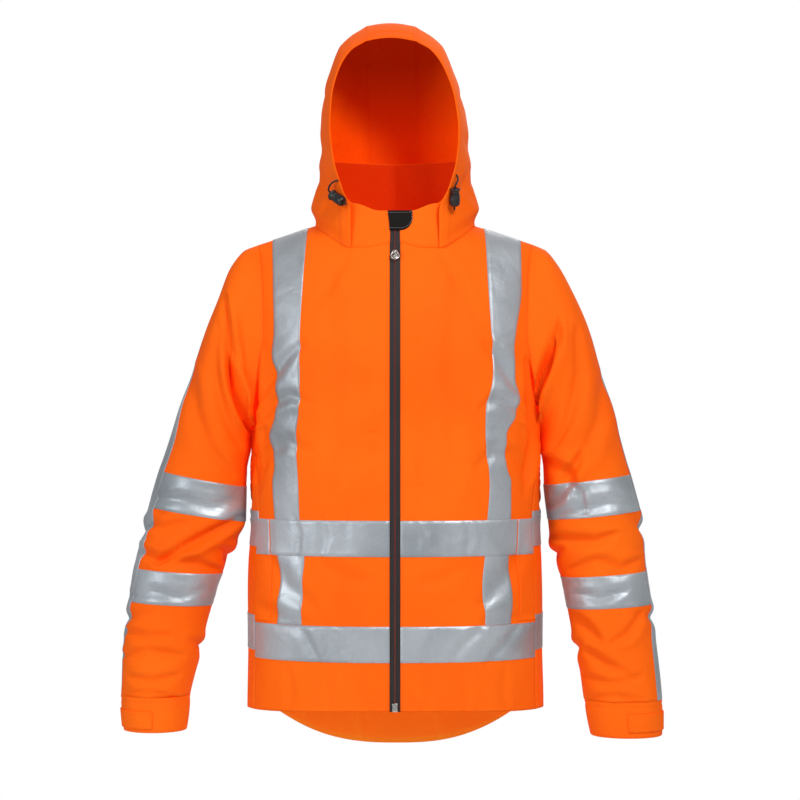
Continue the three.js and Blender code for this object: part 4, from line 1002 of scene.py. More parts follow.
upperRows = (rowMarks[11], rowMarks[12])
lowerRows = (rowMarks[14], rowMarks[15])
for name, grid in fronts.items():
    panel = trim(grid, ("top", "last"), body["gap"])
    pieces["front_" + name] = clothPiece("front_" + name + "_cloth", panel, -body["wall"], 0.0)
    m = frontMarks
    brace = part(grid, (0, lowerRows[0]), (m[5], m[7]))
    tapePiece("brace_front_" + name, brace, ("top", "bottom"), None, ("first", "last"))
    upper = part(grid, upperRows, (0, m[8]))
    over = ramp(m[8] + 1, [(m[5], m[7])])[None, :]
    tapePiece("band_upper_front_" + name, upper, ("last",), over, ("top", "bottom"))
    lower = part(grid, lowerRows, (0, m[9]))
    tapePiece("band_lower_front_" + name, lower, ("last",), None, ("top", "bottom"))
    welt = part(grid, (upperRows[0], lowerRows[0]), (m[8], m[9]))
    welt = trim(trim(welt, ("last",), 0.6), ("bottom",), 4)
    pieces["pocket_welt_" + name] = clothPiece("pocket_welt_" + name + "_cloth", welt, 0.2, 1.5, edge=0.5)
    stitchEdges(welt, ("top", "first"), 1.6, "shell")
    top = part(welt, (0, upperRows[1] - upperRows[0]), (0, m[9] - m[8]))
    top = trim(top, ("last",), 0.6)
    pieces["welt_tape_" + name] = clothPiece("welt_tape_" + name + "_tape", top, 1.6, 2.1, edge=0.12)
    stitchEdges(top, ("top", "bottom"), 2.15, "tape")
    # hem, and the edge turned in beside the zip
    stitchEdges(panel, ("bottom",), 0.06, "shell", 20)
    stitchEdges(panel, ("first",), 0.06, "shell", 3)
    stitchEdges(part(grid, (0, armRow), (0, m[9])), ("last",), 0.06, "shell", 3)
print("stage: fronts made")

# Back panel

panel = trim(back, ("top", "first", "last"), body["gap"])
pieces["back"] = clothPiece("back_cloth", panel, -body["wall"], 0.0)
lastCol = back["p"].shape[1] - 1
backBraces = {
    "right": (backMarks[4], backMarks[6]),
    "left": (lastCol - backMarks[6], lastCol - backMarks[4]),
}
for name, cols in backBraces.items():
    brace = part(back, (0, lowerRows[0]), cols)
    tapePiece("brace_back_" + name, brace, ("top", "bottom"), None, ("first", "last"))
over = ramp(lastCol + 1, list(backBraces.values()))[None, :]
for title, rows, raised in (("band_upper_back", upperRows, over), ("band_lower_back", lowerRows, None)):
    tapePiece(title, part(back, rows, (0, lastCol)), ("first", "last"), raised, ("top", "bottom"))
stitchEdges(panel, ("bottom",), 0.06, "shell", 20)
print("stage: back made")

# Sleeves and cuffs


def wrapCols(grid, rows, cols):
    count = grid["p"].shape[1]
    ids = np.arange(cols[0], cols[1] + 1) % count
    picked = {key: grid[key][rows[0]:rows[1] + 1][:, ids] for key in ("p", "n")}
    return {**picked, "wrap": False, "inside": grid["inside"]}


def closedLine(grid, row, lift):
    points = grid["p"][row] + grid["n"][row] * lift
    return np.vstack([points, points[:1]])


for side, name in ((-1, "right"), (1, "left")):
    grid = sleeveGrids[name]
    tube = trim(grid, ("top",), body["gap"])
    pieces["sleeve_" + name] = clothPiece("sleeve_" + name + "_cloth", tube, -sleeves["wall"], 0.0)
    stripCols = (sleeveMarks[14], sleeveMarks[16])
    for label in ("bandUpper", "bandLower"):
        first, last = (sleeveRowMarks[k] for k in sleeves[label])
        ring = {**grid, "p": grid["p"][first:last + 1], "n": grid["n"][first:last + 1]}
        title = "sleeve_band_" + ("upper_" if label == "bandUpper" else "lower_") + name
        outer = tape["lay"] + tape["wall"]
        pieces[title] = clothPiece(title + "_tape", ring, tape["lay"], outer, edge=tape["edge"])
        for row in (0, -1):
            inner = {**ring, "p": lerp(ring["p"][row], ring["p"][1 if row == 0 else -2], 0.45)[None]}
            stitchLines["tape"].append(closedLine({**inner, "n": ring["n"][row][None]}, 0, 0.75))
    rows = (sleeveRowMarks[1], len(sleeveRows) - 1)
    strip = wrapCols(grid, rows, stripCols)
    crossings = [tuple(sleeveRowMarks[k] - rows[0] for k in sleeves[b]) for b in ("bandUpper", "bandLower")]
    over = ramp(rows[1] - rows[0] + 1, crossings)[:, None]
    tapePiece("sleeve_strip_" + name, strip, ("bottom",), over, ("first", "last"))
    cuffRing = cuffGrid(side)
    down = np.linspace(0, 1, cuffRing["p"].shape[0])[:, None]
    around = np.arange(80) * 4.5
    gather = 0.7 * np.sin(np.radians(around * 9 + 40)) * np.exp(-((down - 0.02) / 0.3) ** 2)
    crease = 0.9 * np.exp(-((down - 0.12) / 0.05) ** 2)
    swell = 0.9 * np.sin(math.pi * down) ** 0.7 + 0.35 * np.sin(np.radians(around * 5)) * down
    cuffRing["p"] = cuffRing["p"] + cuffRing["n"] * (gather - crease + swell)[..., None]
    pieces["cuff_" + name] = clothPiece("cuff_" + name + "_cloth", cuffRing, -cuffs["wall"], 0.0, edge=0.6)
    stitchLines["shell"].append(closedLine(cuffRing, 2, 0.06))
    stitchLines["shell"].append(closedLine(cuffRing, -2, 0.06))
    bottomZ = cuffs[name]["bottomZ"]
    seamZ = sleeves[name][-1][1]
    tabRows = [int(round((z - seamZ) / (bottomZ - seamZ) * 18)) for z in cuffs[name]["tab"]]
    tab = wrapCols(cuffRing, tabRows, (80 - 20, 80 + 20))
    pieces["cuff_tab_" + name] = clothPiece("cuff_tab_" + name + "_cloth", tab, 0.3, 1.9, edge=0.6)
    stitchEdges(tab, ("top", "bottom", "first", "last"), 2.0, "shell")
print("stage: sleeves and cuffs made")

# Collar and hood

collar = {
    "topZ": 9, "edgeRise": 11, "backTopZ": 89, "lean": 4, "wall": 1.3, "inset": 2.6,
    "under": 1.2, "tuck": 0.9,
}
neckFront = [7.5, 25, 43, 62, 76, 90, 103, 115]
neckBack = [115, 104, 90, 75, 60, 36, 18, 0]
hoodStart = 3 / 14
hoodEnd = 0.5 + 5 / 14
hood = {
    "wall": 1.3, "outset": 1.3, "lean": -6, "swellPower": 0.8, "crownLift": 5,
    "hem": 19, "hemProud": 0.7,
    "rim": [(63, -78, -42), (63, -84, 8), (76, -89, 42), (87, -90, 84), (90, -87, 126), (87, -82, 168),
            (76, -75, 208), (57, -68, 238), (36, -64, 251)],
    "crown": [(36, -64, 251), (36, -38, 268), (36, -8, 281), (36, 24, 285), (36, 52, 279), (36, 76, 264),
              (36, 96, 238)],
    "nape": [(36, 70, 6), (36, 92, 24), (36, 104, 60), (36, 110, 105), (36, 112, 150), (36, 108, 190),
             (36, 103, 215), (36, 96, 238)],
    "width": [(-6, 115), (17, 118), (46, 111), (75, 105), (120, 102), (162, 99), (191, 94), (227, 83),
              (249, 75), (263, 68), (274, 60), (283, 46)],
}


def neckAt(x, face):
    z = np.where(face < 0, read(body["frontNeck"], np.abs(x), 1), read(body["backNeck"], np.abs(x), 1))
    return np.stack([x, bodyY(x, z, face), z], axis=-1)


def neckPoint(share):
    share = np.asarray(share, float)
    steps = np.arange(8)
    ahead = np.interp(share * 14, steps, neckFront)
    behind = np.interp(share * 14 - 7, steps, neckBack)
    x = np.where(share <= 0.5, ahead, behind)
    return neckAt(x, np.where(share <= 0.5, -1.0, 1.0))


def neckShift(points, distance):
    away = points * (1, 1, 0)
    return points + unit(away) * distance


def collarTop(share):
    top = neckShift(neckPoint(share), -collar["lean"])
    edge = collar["edgeRise"] * smooth((share - 0.3 * hoodStart) / (0.7 * hoodStart))
    rise = smooth((share - hoodStart) / (0.5 - hoodStart))
    top[..., 2] = lerp(collar["topZ"] + edge, collar["backTopZ"], rise)
    return top


def collarWall(shares, steps, inset):
    base = neckShift(neckPoint(shares), -inset) + (0, 0, 0.5)
    top = neckShift(collarTop(shares), -inset)
    t = np.linspace(0, 1, steps)[:, None, None]
    return base[None] * (1 - t) + top[None] * t


for side, name in ((-1, "right"), (1, "left")):
    shares = np.linspace(0, hoodStart * collar["under"], 20)
    under = collar["tuck"] * smooth((shares - hoodStart) / 0.02)
    points = collarWall(shares, 14, 0)
    points = neckShift(points, -under[None, :, None])
    points[..., 0] *= side
    grid = makeGrid(points, (0, 0, -20))
    pieces["collar_front_" + name] = clothPiece(
        "collar_front_" + name + "_cloth", grid, -collar["wall"], 0.0, edge=0.6)
    stitchEdges(grid, ("top",), 0.06, "shell", 4)
half = collarWall(np.linspace(hoodStart, 1, 70), 24, collar["inset"])
points = np.concatenate([half * (-1, 1, 1), half[:, :-1][:, ::-1]], axis=1)
collarBack = makeGrid(points, (0, 0, 20))
pieces["collar_back"] = clothPiece(
    "collar_back_cloth", trim(collarBack, ("first", "last"), 1.2), -collar["wall"], 0.0, edge=0.6)
inner = {**collarBack, "n": -collarBack["n"]}
stitchEdges(inner, ("top",), collar["wall"] + 0.06, "shell", 6)
print("stage: collar made")


def along(table, share):
    corners = np.array(table, float)
    lengths = np.concatenate([[0], np.cumsum(np.linalg.norm(np.diff(corners, axis=0), axis=1))])
    rows = np.column_stack([lengths / lengths[-1], corners])
    return np.stack([read(rows.tolist(), share, k) for k in (1, 2, 3)], axis=-1)


def hoodSideGrid(side):
    v = np.linspace(0, 1, 91)
    u = np.linspace(0, 1, 61)
    bottom = neckShift(neckPoint(lerp(hoodStart, hoodEnd, u)), hood["outset"]) + (0, 0, 0.5)
    settle = np.clip(1 - v / 0.1, 0, 1)[:, None]
    rim = along(hood["rim"], v)
    rim = rim + (bottom[0] - rim[0]) * settle
    nape = along(hood["nape"], v)
    nape = nape + (bottom[-1] - nape[0]) * settle
    crown = along(hood["crown"], u)
    across = u[None, :, None]
    up = v[:, None, None]
    points = rim[:, None] * (1 - across) + nape[:, None] * across
    points = points + bottom[None] * (1 - up) + crown[None] * up
    points = points - bottom[0] * (1 - across) * (1 - up) - bottom[-1] * across * (1 - up)
    points = points - crown[0] * (1 - across) * up - crown[-1] * across * up
    middle = points[:, 30]
    swell = read(hood["width"], middle[:, 2], 1) - middle[:, 0]
    fade = np.minimum(1, (1 - v) * 8) * smooth(v / 0.1)
    points[..., 0] += (swell * fade)[:, None] * np.sin(math.pi * u)[None, :] ** hood["swellPower"]
    points[..., 0] *= side
    points[..., 0] += hood["lean"] * smooth((points[..., 2] - 60) / 220)
    return makeGrid(points, (0, 0, 120))


def hoodCentreGrid(left, right):
    paths = []
    for grid in (left, right):
        crown = grid["p"][-1]
        nape = grid["p"][::-1, -1][1:]
        paths.append(np.concatenate([crown, nape]))
    t = np.linspace(1, 0, 21)[None, :, None]
    points = paths[0][:, None] * t + paths[1][:, None] * (1 - t)
    away = unit(points - np.array((0, 10, 110)))
    points = points + away * (hood["crownLift"] * np.sin(math.pi * t))
    base = neckShift(neckAt(points[-1, :, 0], np.full(21, 1.0)), hood["outset"]) + (0, 0, 0.5)
    change = base - points[-1]
    change[[0, -1]] = 0
    fade = smooth(1 - (np.arange(len(points))[::-1] / 12))[:, None, None]
    points = points + change[None] * fade
    return makeGrid(points, (0, 10, 110))


def hemHeights(distance):
    proud = hood["hemProud"] * (1 - smooth((distance - hood["hem"] + 2) / 2.5))
    return proud - 0.55 * np.exp(-((distance - hood["hem"]) / 1.2) ** 2)


hoodSides = {"right": hoodSideGrid(-1), "left": hoodSideGrid(1)}
hoodCentre = hoodCentreGrid(hoodSides["left"], hoodSides["right"])
for name, col in (("left", 0), ("right", -1)):
    grid = hoodSides[name]
    crownLength = grid["p"].shape[1]
    joinBorders(grid, (-1, allRows), hoodCentre, (slice(0, crownLength), col))
    joinBorders(grid, (allRows, -1), hoodCentre, (slice(crownLength - 1, None), col))
for name, grid in hoodSides.items():
    distance = lengthsAlong(grid["p"], 1)
    nearNeck = smooth(lengthsAlong(grid["p"], 0) / 14)
    grid["p"] = grid["p"] + grid["n"] * hemHeights(distance)[..., None]
    applyFolds(grid, hoodFolds, foldDepths["hood"], nearNeck)
    panel = trim(grid, ("last", "bottom"), body["gap"])
    pieces["hood_side_" + name] = clothPiece(
        "hood_side_" + name + "_cloth", panel, -hood["wall"], 0.0, edge=0.6)
    stitchEdges(grid, ("first",), 0.06, "shell", hood["hem"])
    stitchEdges(grid, ("top",), 0.06, "shell", 3)
    stitchEdges(grid, ("bottom", "last"), 0.06, "shell", 3)
distance = lengthsAlong(hoodCentre["p"], 0)
hoodCentre["p"] = hoodCentre["p"] + hoodCentre["n"] * hemHeights(distance)[..., None]
fromEnd = lengthsAlong(hoodCentre["p"][::-1], 0)[::-1]
applyFolds(hoodCentre, hoodFolds, foldDepths["hood"], smooth(fromEnd / 14))
pieces["hood_centre"] = clothPiece(
    "hood_centre_cloth", trim(hoodCentre, ("first", "last"), body["gap"]), -hood["wall"], 0.0, edge=0.6)
stitchEdges(hoodCentre, ("top",), 0.06, "shell", hood["hem"])
stitchEdges(hoodCentre, ("first", "last"), 0.06, "shell", 3)
print("stage: hood made")

# Front zip, its chin guard, slider, ring and starter box

frontZip = {
    "sink": 0.4, "wall": 1.0, "coil": 2.7, "coilProud": 0.45, "bottomZ": -691, "topZ": 9,
    "neckZ": -43, "toothPitch": 1.55, "toothSize": (0.5, 1.25, 0.6), "teethX": 1.2,
}
slider = {
    "z": -52.5, "clear": 0.6, "drop": 2, "width": 8, "height": 15, "depth": 2.6,
    "eye": 3, "eyeReach": 2.3, "loop": 2.4, "loopWire": 0.6, "loopWide": 2.2,
}
pullRing = {"radius": 5.6, "wire": 0.95}
starterBox = {"width": 8.5, "height": 12, "depth": 2.4}
chinGuard = {"left": 10, "right": 24, "height": 27, "straight": 10, "wall": 1.1, "lift": 0.5}


def zipY(z):
    z = np.asarray(z, float)
    neckZ = body["frontNeck"][0][1]
    low = bodyY(np.full(z.shape, zipHalf), np.minimum(z, neckZ), -1)
    return low + collar["lean"] * np.clip((z - neckZ) / (frontZip["topZ"] - neckZ), 0, 1)


collarRun = np.linspace(frontZip["topZ"], frontZip["neckZ"], 12)[:-1]
zipZ = np.concatenate([collarRun, np.linspace(frontZip["neckZ"], frontZip["bottomZ"], 150)])
zipX = np.array((0.22, 1.0, 1.9, 2.7, 3.4, 4.6, 5.9, zipHalf - 0.12))
coilRise = smooth(frontZip["coil"] + 0.6 - zipX)
coilDip = smooth((0.8 - zipX) / 0.6)
coilShape = frontZip["coilProud"] * (coilRise - 0.8 * coilDip)
for side, name in ((-1, "right"), (1, "left")):
    points = np.zeros((len(zipZ), len(zipX), 3))
    points[..., 0] = zipX * side
    points[..., 1] = (zipY(zipZ) + frontZip["sink"])[:, None]
    points[..., 2] = zipZ[:, None]
    grid = makeGrid(points, (0, 0, -350))
    grid["p"] = grid["p"] + grid["n"] * coilShape[None, :, None]
    pieces["zip_" + name] = clothPiece("zip_" + name + "_tape", grid, -frontZip["wall"], 0.0, edge=0.1)


def collarFace(x, z):
    base = neckAt(np.abs(x), np.full(np.shape(x), -1.0))
    top = neckShift(base, -collar["lean"])
    top[..., 2] = collar["topZ"]
    point = lerp(base, top, ((z - base[..., 2]) / (collar["topZ"] - base[..., 2]))[..., None])
    point[..., 0] = x
    return point


guard = chinGuard
lobeX = np.concatenate([np.linspace(-zipHalf, zipHalf, 13), zipHalf + (guard["right"] - zipHalf) * np.sin(
    np.linspace(0, math.pi / 2, 16)[1:])])
down = np.linspace(0, 1, 16)[:, None]
lobe = np.clip((lobeX - zipHalf) / (guard["right"] - zipHalf), 0, 1)
drop = lerp(guard["straight"], guard["height"], np.sqrt(1 - lobe ** 2))[None, :]
widen = 1 + (guard["left"] / zipHalf - 1) * (1 - np.minimum(1, down * 1.5)) * (lobeX < 0)
grid = makeGrid(collarFace(lobeX[None, :] * widen, collar["topZ"] - drop * down), (0, 0, 0))
grid["p"] = grid["p"] + grid["n"] * (0.35 * np.sin(math.pi * down) * np.ones(drop.shape))[..., None]
guardTop = guard["lift"] + guard["wall"]
pieces["chin_guard"] = clothPiece("chin_guard_cloth", grid, guard["lift"], guardTop, edge=0.5)
stitchEdges(grid, ("top", "bottom", "last"), guardTop + 0.05, "tape", 2.6)

slope = float(zipY(slider["z"] + 5) - zipY(slider["z"] - 5)) / 10
tilt = -math.atan(slope)
seat = np.array((0, float(zipY(slider["z"])) + frontZip["sink"], slider["z"]))


# From the slider's own frame, where y is outwards from the zip, to the jacket's.
def placeSlider(points):
    points = np.asarray(points, float)
    y = points[:, 1] * math.cos(tilt) - points[:, 2] * math.sin(tilt)
    z = points[:, 1] * math.sin(tilt) + points[:, 2] * math.cos(tilt)
    return np.stack([points[:, 0], y, z], axis=1) + seat


# A plate with a rounded outline, waisted in its middle, and softened edges.
def platePoints(width, height, depth, waist, corner=3.2, count=44, soft=0.55):
    turns = np.linspace(0, 2 * math.pi, count, endpoint=False)
    outX = np.sign(np.cos(turns)) * np.abs(np.cos(turns)) ** (2 / corner) * width / 2
    outZ = np.sign(np.sin(turns)) * np.abs(np.sin(turns)) ** (2 / corner) * height / 2
    outX = outX * (1 - waist * np.exp(-(outZ / (height * 0.22)) ** 2))
    rings = []
    shape = (
        (0, 1 - soft / width), (-soft * 0.3, 1), (-depth + soft, 1),
        (-depth + soft * 0.3, 1 - soft * 0.7 / width), (-depth, 1 - soft * 2.4 / width), (-depth, 0.45))
    for y, share in shape:
        tall = 1 - (1 - share) * width / height
        rings.append(np.stack([outX * share, np.full(count, float(y)), outZ * tall], 1))
    return rings


def ringsPiece(name, rings, soft=True):
    count = len(rings[0])
    vertices = np.concatenate(rings)
    faceList = []
    for i in range(len(rings) - 1):
        for k in range(count):
            m = (k + 1) % count
            faceList.append([i * count + k, i * count + m, (i + 1) * count + m, (i + 1) * count + k])
    faceList.append([k for k in range(count)][::-1])
    faceList.append([(len(rings) - 1) * count + k for k in range(count)])
    piece = makePiece(name, vertices, faceList, vertices[:, [0, 2]], None, soft)
    faceOutwards(piece)
    return piece


def faceOutwards(piece):
    shape = bmesh.new()
    shape.from_mesh(piece.data)
    bmesh.ops.recalc_face_normals(shape, faces=shape.faces)
    shape.to_mesh(piece.data)
    shape.free()


rings = platePoints(slider["width"], slider["height"], slider["depth"], 0.12)
rings = [placeSlider(ring + (0, -slider["clear"], -slider["drop"])) for ring in rings]
pieces["zip_slider"] = ringsPiece("zip_slider_metal", rings)
eyeY = -slider["clear"] - slider["depth"] - slider["eyeReach"]
turns = np.linspace(-0.62 * math.pi, 0.62 * math.pi, 25)
loop = np.stack([np.zeros(25), eyeY - slider["loop"] * np.cos(turns), slider["loop"] * np.sin(turns)], 1)
root = np.array((0, -slider["clear"] - slider["depth"] + 0.5, 0))
loop = np.vstack([root + (0, 0, -2.2), loop, root + (0, 0, 2.2)])
eye = tubePiece("zip_slider_eye_metal", loop, slider["loopWire"], 12, 1.0)
shape = np.array([v.co for v in eye.data.vertices]) / mm
shape[:, 0] *= slider["loopWide"]
eye.data.vertices.foreach_set("co", (placeSlider(shape) * mm).astype(np.float32).ravel())
eye.data.update()
pieces["zip_slider_eye"] = eye

turns = np.linspace(0, 2 * math.pi, 72, endpoint=False)
ringCentre = np.array((0, eyeY, -pullRing["radius"]))
vertices = []
faceList = []
for i, turn in enumerate(turns):
    way = np.array((math.cos(turn), 0, math.sin(turn)))
    for k in range(16):
        small = 2 * math.pi * k / 16
        vertices.append(ringCentre + way * (pullRing["radius"] + pullRing["wire"] * math.cos(small))
                        + np.array((0, pullRing["wire"] * math.sin(small), 0)))
        i2 = (i + 1) % 72
        k2 = (k + 1) % 16
        faceList.append([i * 16 + k, i2 * 16 + k, i2 * 16 + k2, i * 16 + k2])
vertices = placeSlider(vertices)
pieces["zip_pull"] = makePiece("zip_pull_metal", vertices, faceList, vertices[:, [0, 2]])
faceOutwards(pieces["zip_pull"])

boxSeat = np.array((0, float(zipY(frontZip["bottomZ"])) + frontZip["sink"] - 0.35,
                    frontZip["bottomZ"] + starterBox["height"] / 2))
rings = platePoints(starterBox["width"], starterBox["height"], starterBox["depth"], 0.22, 4.0)
pieces["zip_box"] = ringsPiece("zip_box_metal", [ring + boxSeat for ring in rings])
print("stage: zip made")

# Cord locks

cordLock = {
    "radius": 7.4, "length": 17, "bore": 2.2, "flange": 8, "buttonRadius": 6.2, "buttonLength": 8,
    "apart": 0.35, "grips": 0.05,
    "right": ((-89, -78, 32), (-70.5, -95.5, 18)), "left": ((84.5, -87.8, 40), (84, -78.5, 14)),
}


# A turned piece along an axis, from (radius, distance) pairs that run round its section.
def turnedPiece(name, outline, start, way, count=40, grips=0.0):
    outline = np.array(outline, float)
    across = unit(np.cross(way, (0.2, 0.1, 1.0)))
    other = np.cross(way, across)
    turns = np.linspace(0, 2 * math.pi, count, endpoint=False)
    vertices = []
    for radius, distance in outline:
        ribbed = radius * (1 - grips * (radius > 5) * (0.5 + 0.5 * np.cos(turns * 10)))
        ring = start + way * distance + ribbed[:, None] * (
            across * np.cos(turns)[:, None] + other * np.sin(turns)[:, None])
        vertices.append(ring)
    vertices = np.concatenate(vertices)
    faceList = []
    for i in range(len(outline)):
        j = (i + 1) % len(outline)
        for k in range(count):
            m = (k + 1) % count
            faceList.append([i * count + k, i * count + m, j * count + m, j * count + k])
    piece = makePiece(name, vertices, faceList, vertices[:, [0, 2]])
    faceOutwards(piece)
    return piece


for name in ("right", "left"):
    mouth, end = (np.array(place, float) for place in cordLock[name])
    way = unit(end - mouth)
    bore = cordLock["bore"]
    flange = cordLock["flange"]
    thumb = cordLock["buttonRadius"]
    deep = cordLock["buttonLength"]
    outline = [
        (bore, 0.5), (bore + 0.6, 0), (flange - 1.2, 0), (flange - 0.3, 0.35), (flange, 1.0),
        (flange, 1.7), (flange - 0.4, 2.3), (thumb + 0.3, 2.7), (thumb, 3.3), (thumb, deep - 0.4),
        (thumb - 0.4, deep), (bore, deep)]
    pieces["cord_button_" + name] = turnedPiece("cord_button_" + name + "_plastic", outline, mouth, way)
    radius, length = cordLock["radius"], cordLock["length"]
    outline = [
        (bore, 0), (radius - 1.3, 0), (radius - 0.4, 0.3), (radius, 1.0), (radius, 2.2),
        (radius - 0.5, 2.6), (radius - 0.5, 3.4), (radius, 3.8), (radius, length - 3.6),
        (radius - 0.5, length - 2), (radius - 1.4, length - 0.7), (radius - 2.6, length), (bore, length)]
    start = mouth + way * (cordLock["buttonLength"] + cordLock["apart"])
    title = "cord_lock_" + name
    pieces[title] = turnedPiece(title + "_plastic", outline, start, way, 40, cordLock["grips"])
print("stage: cord locks made")

# Stitches and zip teeth, set along their lines

thread = {"pitch": 3.3, "length": 1.25, "thick": 0.26}


def makeRunTree(name):
    tree = bpy.data.node_groups.new(name, "GeometryNodeTree")
    face = tree.interface
    face.new_socket("Line", in_out="INPUT", socket_type="NodeSocketGeometry")
    usual = {"Pitch": 0.003, "Half Length": 0.001, "Half Width": 0.0003, "Half Height": 0.0003}
    for title, size in usual.items():
        socket = face.new_socket(title, in_out="INPUT", socket_type="NodeSocketFloat")
        socket.default_value = size
    face.new_socket("Finish", in_out="INPUT", socket_type="NodeSocketMaterial")
    face.new_socket("Run", in_out="OUTPUT", socket_type="NodeSocketGeometry")
    new = tree.nodes.new
    link = tree.links.new
    start = new("NodeGroupInput")
    end = new("NodeGroupOutput")
    line = new("GeometryNodeMeshToCurve")
    spaced = new("GeometryNodeResampleCurve")
    spaced.mode = "LENGTH"
    bead = new("GeometryNodeMeshIcoSphere")
    bead.inputs["Radius"].default_value = 1.0
    bead.inputs["Subdivisions"].default_value = 1
    size = new("ShaderNodeCombineXYZ")
    tangent = new("GeometryNodeInputTangent")
    turn = new("FunctionNodeAlignRotationToVector")
    turn.axis = "X"
    place = new("GeometryNodeInstanceOnPoints")
    real = new("GeometryNodeRealizeInstances")
    finish = new("GeometryNodeSetMaterial")
    link(start.outputs["Line"], line.inputs["Mesh"])
    link(line.outputs["Curve"], spaced.inputs["Curve"])
    link(start.outputs["Pitch"], spaced.inputs["Length"])
    link(spaced.outputs["Curve"], place.inputs["Points"])
    link(bead.outputs["Mesh"], place.inputs["Instance"])
    link(tangent.outputs["Tangent"], turn.inputs["Vector"])
    link(turn.outputs["Rotation"], place.inputs["Rotation"])
    for axis, title in (("X", "Half Length"), ("Y", "Half Width"), ("Z", "Half Height")):
        link(start.outputs[title], size.inputs[axis])
    link(size.outputs["Vector"], place.inputs["Scale"])
    link(place.outputs["Instances"], real.inputs["Geometry"])
    link(real.outputs["Geometry"], finish.inputs["Geometry"])
    link(start.outputs["Finish"], finish.inputs["Material"])
    link(finish.outputs["Geometry"], end.inputs["Run"])
    return tree


runTree = makeRunTree("stitch_run")


# One plain mesh of beads along many lines.
def runPiece(name, lines, pitch, sizes, finish):
    vertices = []
    edges = []
    for line in lines:
        first = len(vertices)
        vertices += (np.asarray(line) * mm).tolist()
        edges += [(k, k + 1) for k in range(first, len(vertices) - 1)]
    mesh = bpy.data.meshes.new(name + "_line")
    mesh.from_pydata(vertices, edges, [])
    base = addToScene(name + "_line", mesh)
    modifier = base.modifiers.new("run", "NODES")
    modifier.node_group = runTree
    values = {"Pitch": pitch * mm, "Half Length": sizes[0] * mm, "Half Width": sizes[1] * mm,
              "Half Height": sizes[2] * mm, "Finish": finish}
    for item in runTree.interface.items_tree:
        if item.in_out == "INPUT" and item.name in values:
            modifier[item.identifier] = values[item.name]
    base.update_tag()
    bpy.context.view_layer.update()
    evaluated = base.evaluated_get(bpy.context.evaluated_depsgraph_get())
    made = bpy.data.meshes.new_from_object(evaluated)
    made.name = name
    base.modifiers.remove(modifier)
    bpy.data.objects.remove(base)
    made.polygons.foreach_set("use_smooth", np.full(len(made.polygons), True))
    return addToScene(name, made)


# Finishes


def newGroup(name, inputs, outputs):
    group = bpy.data.node_groups.new(name, "ShaderNodeTree")
    for title, value in inputs.items():
        socket = group.interface.new_socket(title, in_out="INPUT", socket_type="NodeSocketFloat")
        socket.default_value = value
    for title in outputs:
        group.interface.new_socket(title, in_out="OUTPUT", socket_type="NodeSocketFloat")
    return group, group.nodes.new("NodeGroupInput"), group.nodes.new("NodeGroupOutput")


def mathNode(tree, operation, *values):
    node = tree.nodes.new("ShaderNodeMath")
    node.operation = operation
    for i, value in enumerate(values):
        if isinstance(value, (int, float)):
            node.inputs[i].default_value = value
        else:
            tree.links.new(value, node.inputs[i])
    return node.outputs[0]


# Plain weave on the cloth's own UV, in metres: threads over and under, a little uneven.
def makeWeave():
    group, start, end = newGroup("weave", {"Threads": 1600.0, "Uneven": 0.35}, ("Height", "Tone"))
    place = group.nodes.new("ShaderNodeTexCoord")
    grow = group.nodes.new("ShaderNodeVectorMath")
    grow.operation = "SCALE"
    group.links.new(place.outputs["UV"], grow.inputs[0])
    group.links.new(start.outputs["Threads"], grow.inputs["Scale"])
    split = group.nodes.new("ShaderNodeSeparateXYZ")
    group.links.new(grow.outputs[0], split.inputs[0])
    over = mathNode(group, "SINE", mathNode(group, "MULTIPLY", split.outputs["X"], 3.14159))
    under = mathNode(group, "SINE", mathNode(group, "MULTIPLY", split.outputs["Y"], 3.14159))
    check = mathNode(group, "MULTIPLY", over, under)
    slub = group.nodes.new("ShaderNodeTexNoise")
    slub.inputs["Scale"].default_value = 0.21
    slub.inputs["Detail"].default_value = 2.0
    group.links.new(grow.outputs[0], slub.inputs["Vector"])
    uneven = mathNode(group, "MULTIPLY", slub.outputs["Fac"], start.outputs["Uneven"])
    height = mathNode(group, "ADD", mathNode(group, "MULTIPLY", check, 0.5), uneven)
    group.links.new(height, end.inputs["Height"])
    group.links.new(slub.outputs["Fac"], end.inputs["Tone"])
    return group


# Slow change over a piece: worn and handled areas, and soft rumples of the cloth.
def makeHandling():
    group, start, end = newGroup("handling", {"Patch": 5.0, "Rumple": 26.0}, ("Patches", "Rumples"))
    place = group.nodes.new("ShaderNodeTexCoord")
    for source, detail, out in (("Patch", 3.0, "Patches"), ("Rumple", 2.5, "Rumples")):
        noise = group.nodes.new("ShaderNodeTexNoise")
        noise.name = source
        noise.inputs["Detail"].default_value = detail
        noise.inputs["Distortion"].default_value = 0.35
        group.links.new(place.outputs["Object"], noise.inputs["Vector"])
        group.links.new(start.outputs[source], noise.inputs["Scale"])
        group.links.new(noise.outputs["Fac"], end.inputs[out])
    return group


# Fine glass beads of the tape, on the tape's own UV.
def makeBeads():
    group, start, end = newGroup("beads", {"Beads": 2400.0}, ("Height", "Tone"))
    place = group.nodes.new("ShaderNodeTexCoord")
    cells = group.nodes.new("ShaderNodeTexVoronoi")
    group.links.new(place.outputs["UV"], cells.inputs["Vector"])
    group.links.new(start.outputs["Beads"], cells.inputs["Scale"])
    group.links.new(mathNode(group, "SUBTRACT", 1.0, cells.outputs["Distance"]), end.inputs["Height"])
    split = group.nodes.new("ShaderNodeSeparateColor")
    group.links.new(cells.outputs["Color"], split.inputs[0])
    group.links.new(split.outputs[0], end.inputs["Tone"])
    return group


weave = makeWeave()
handling = makeHandling()
beads = makeBeads()


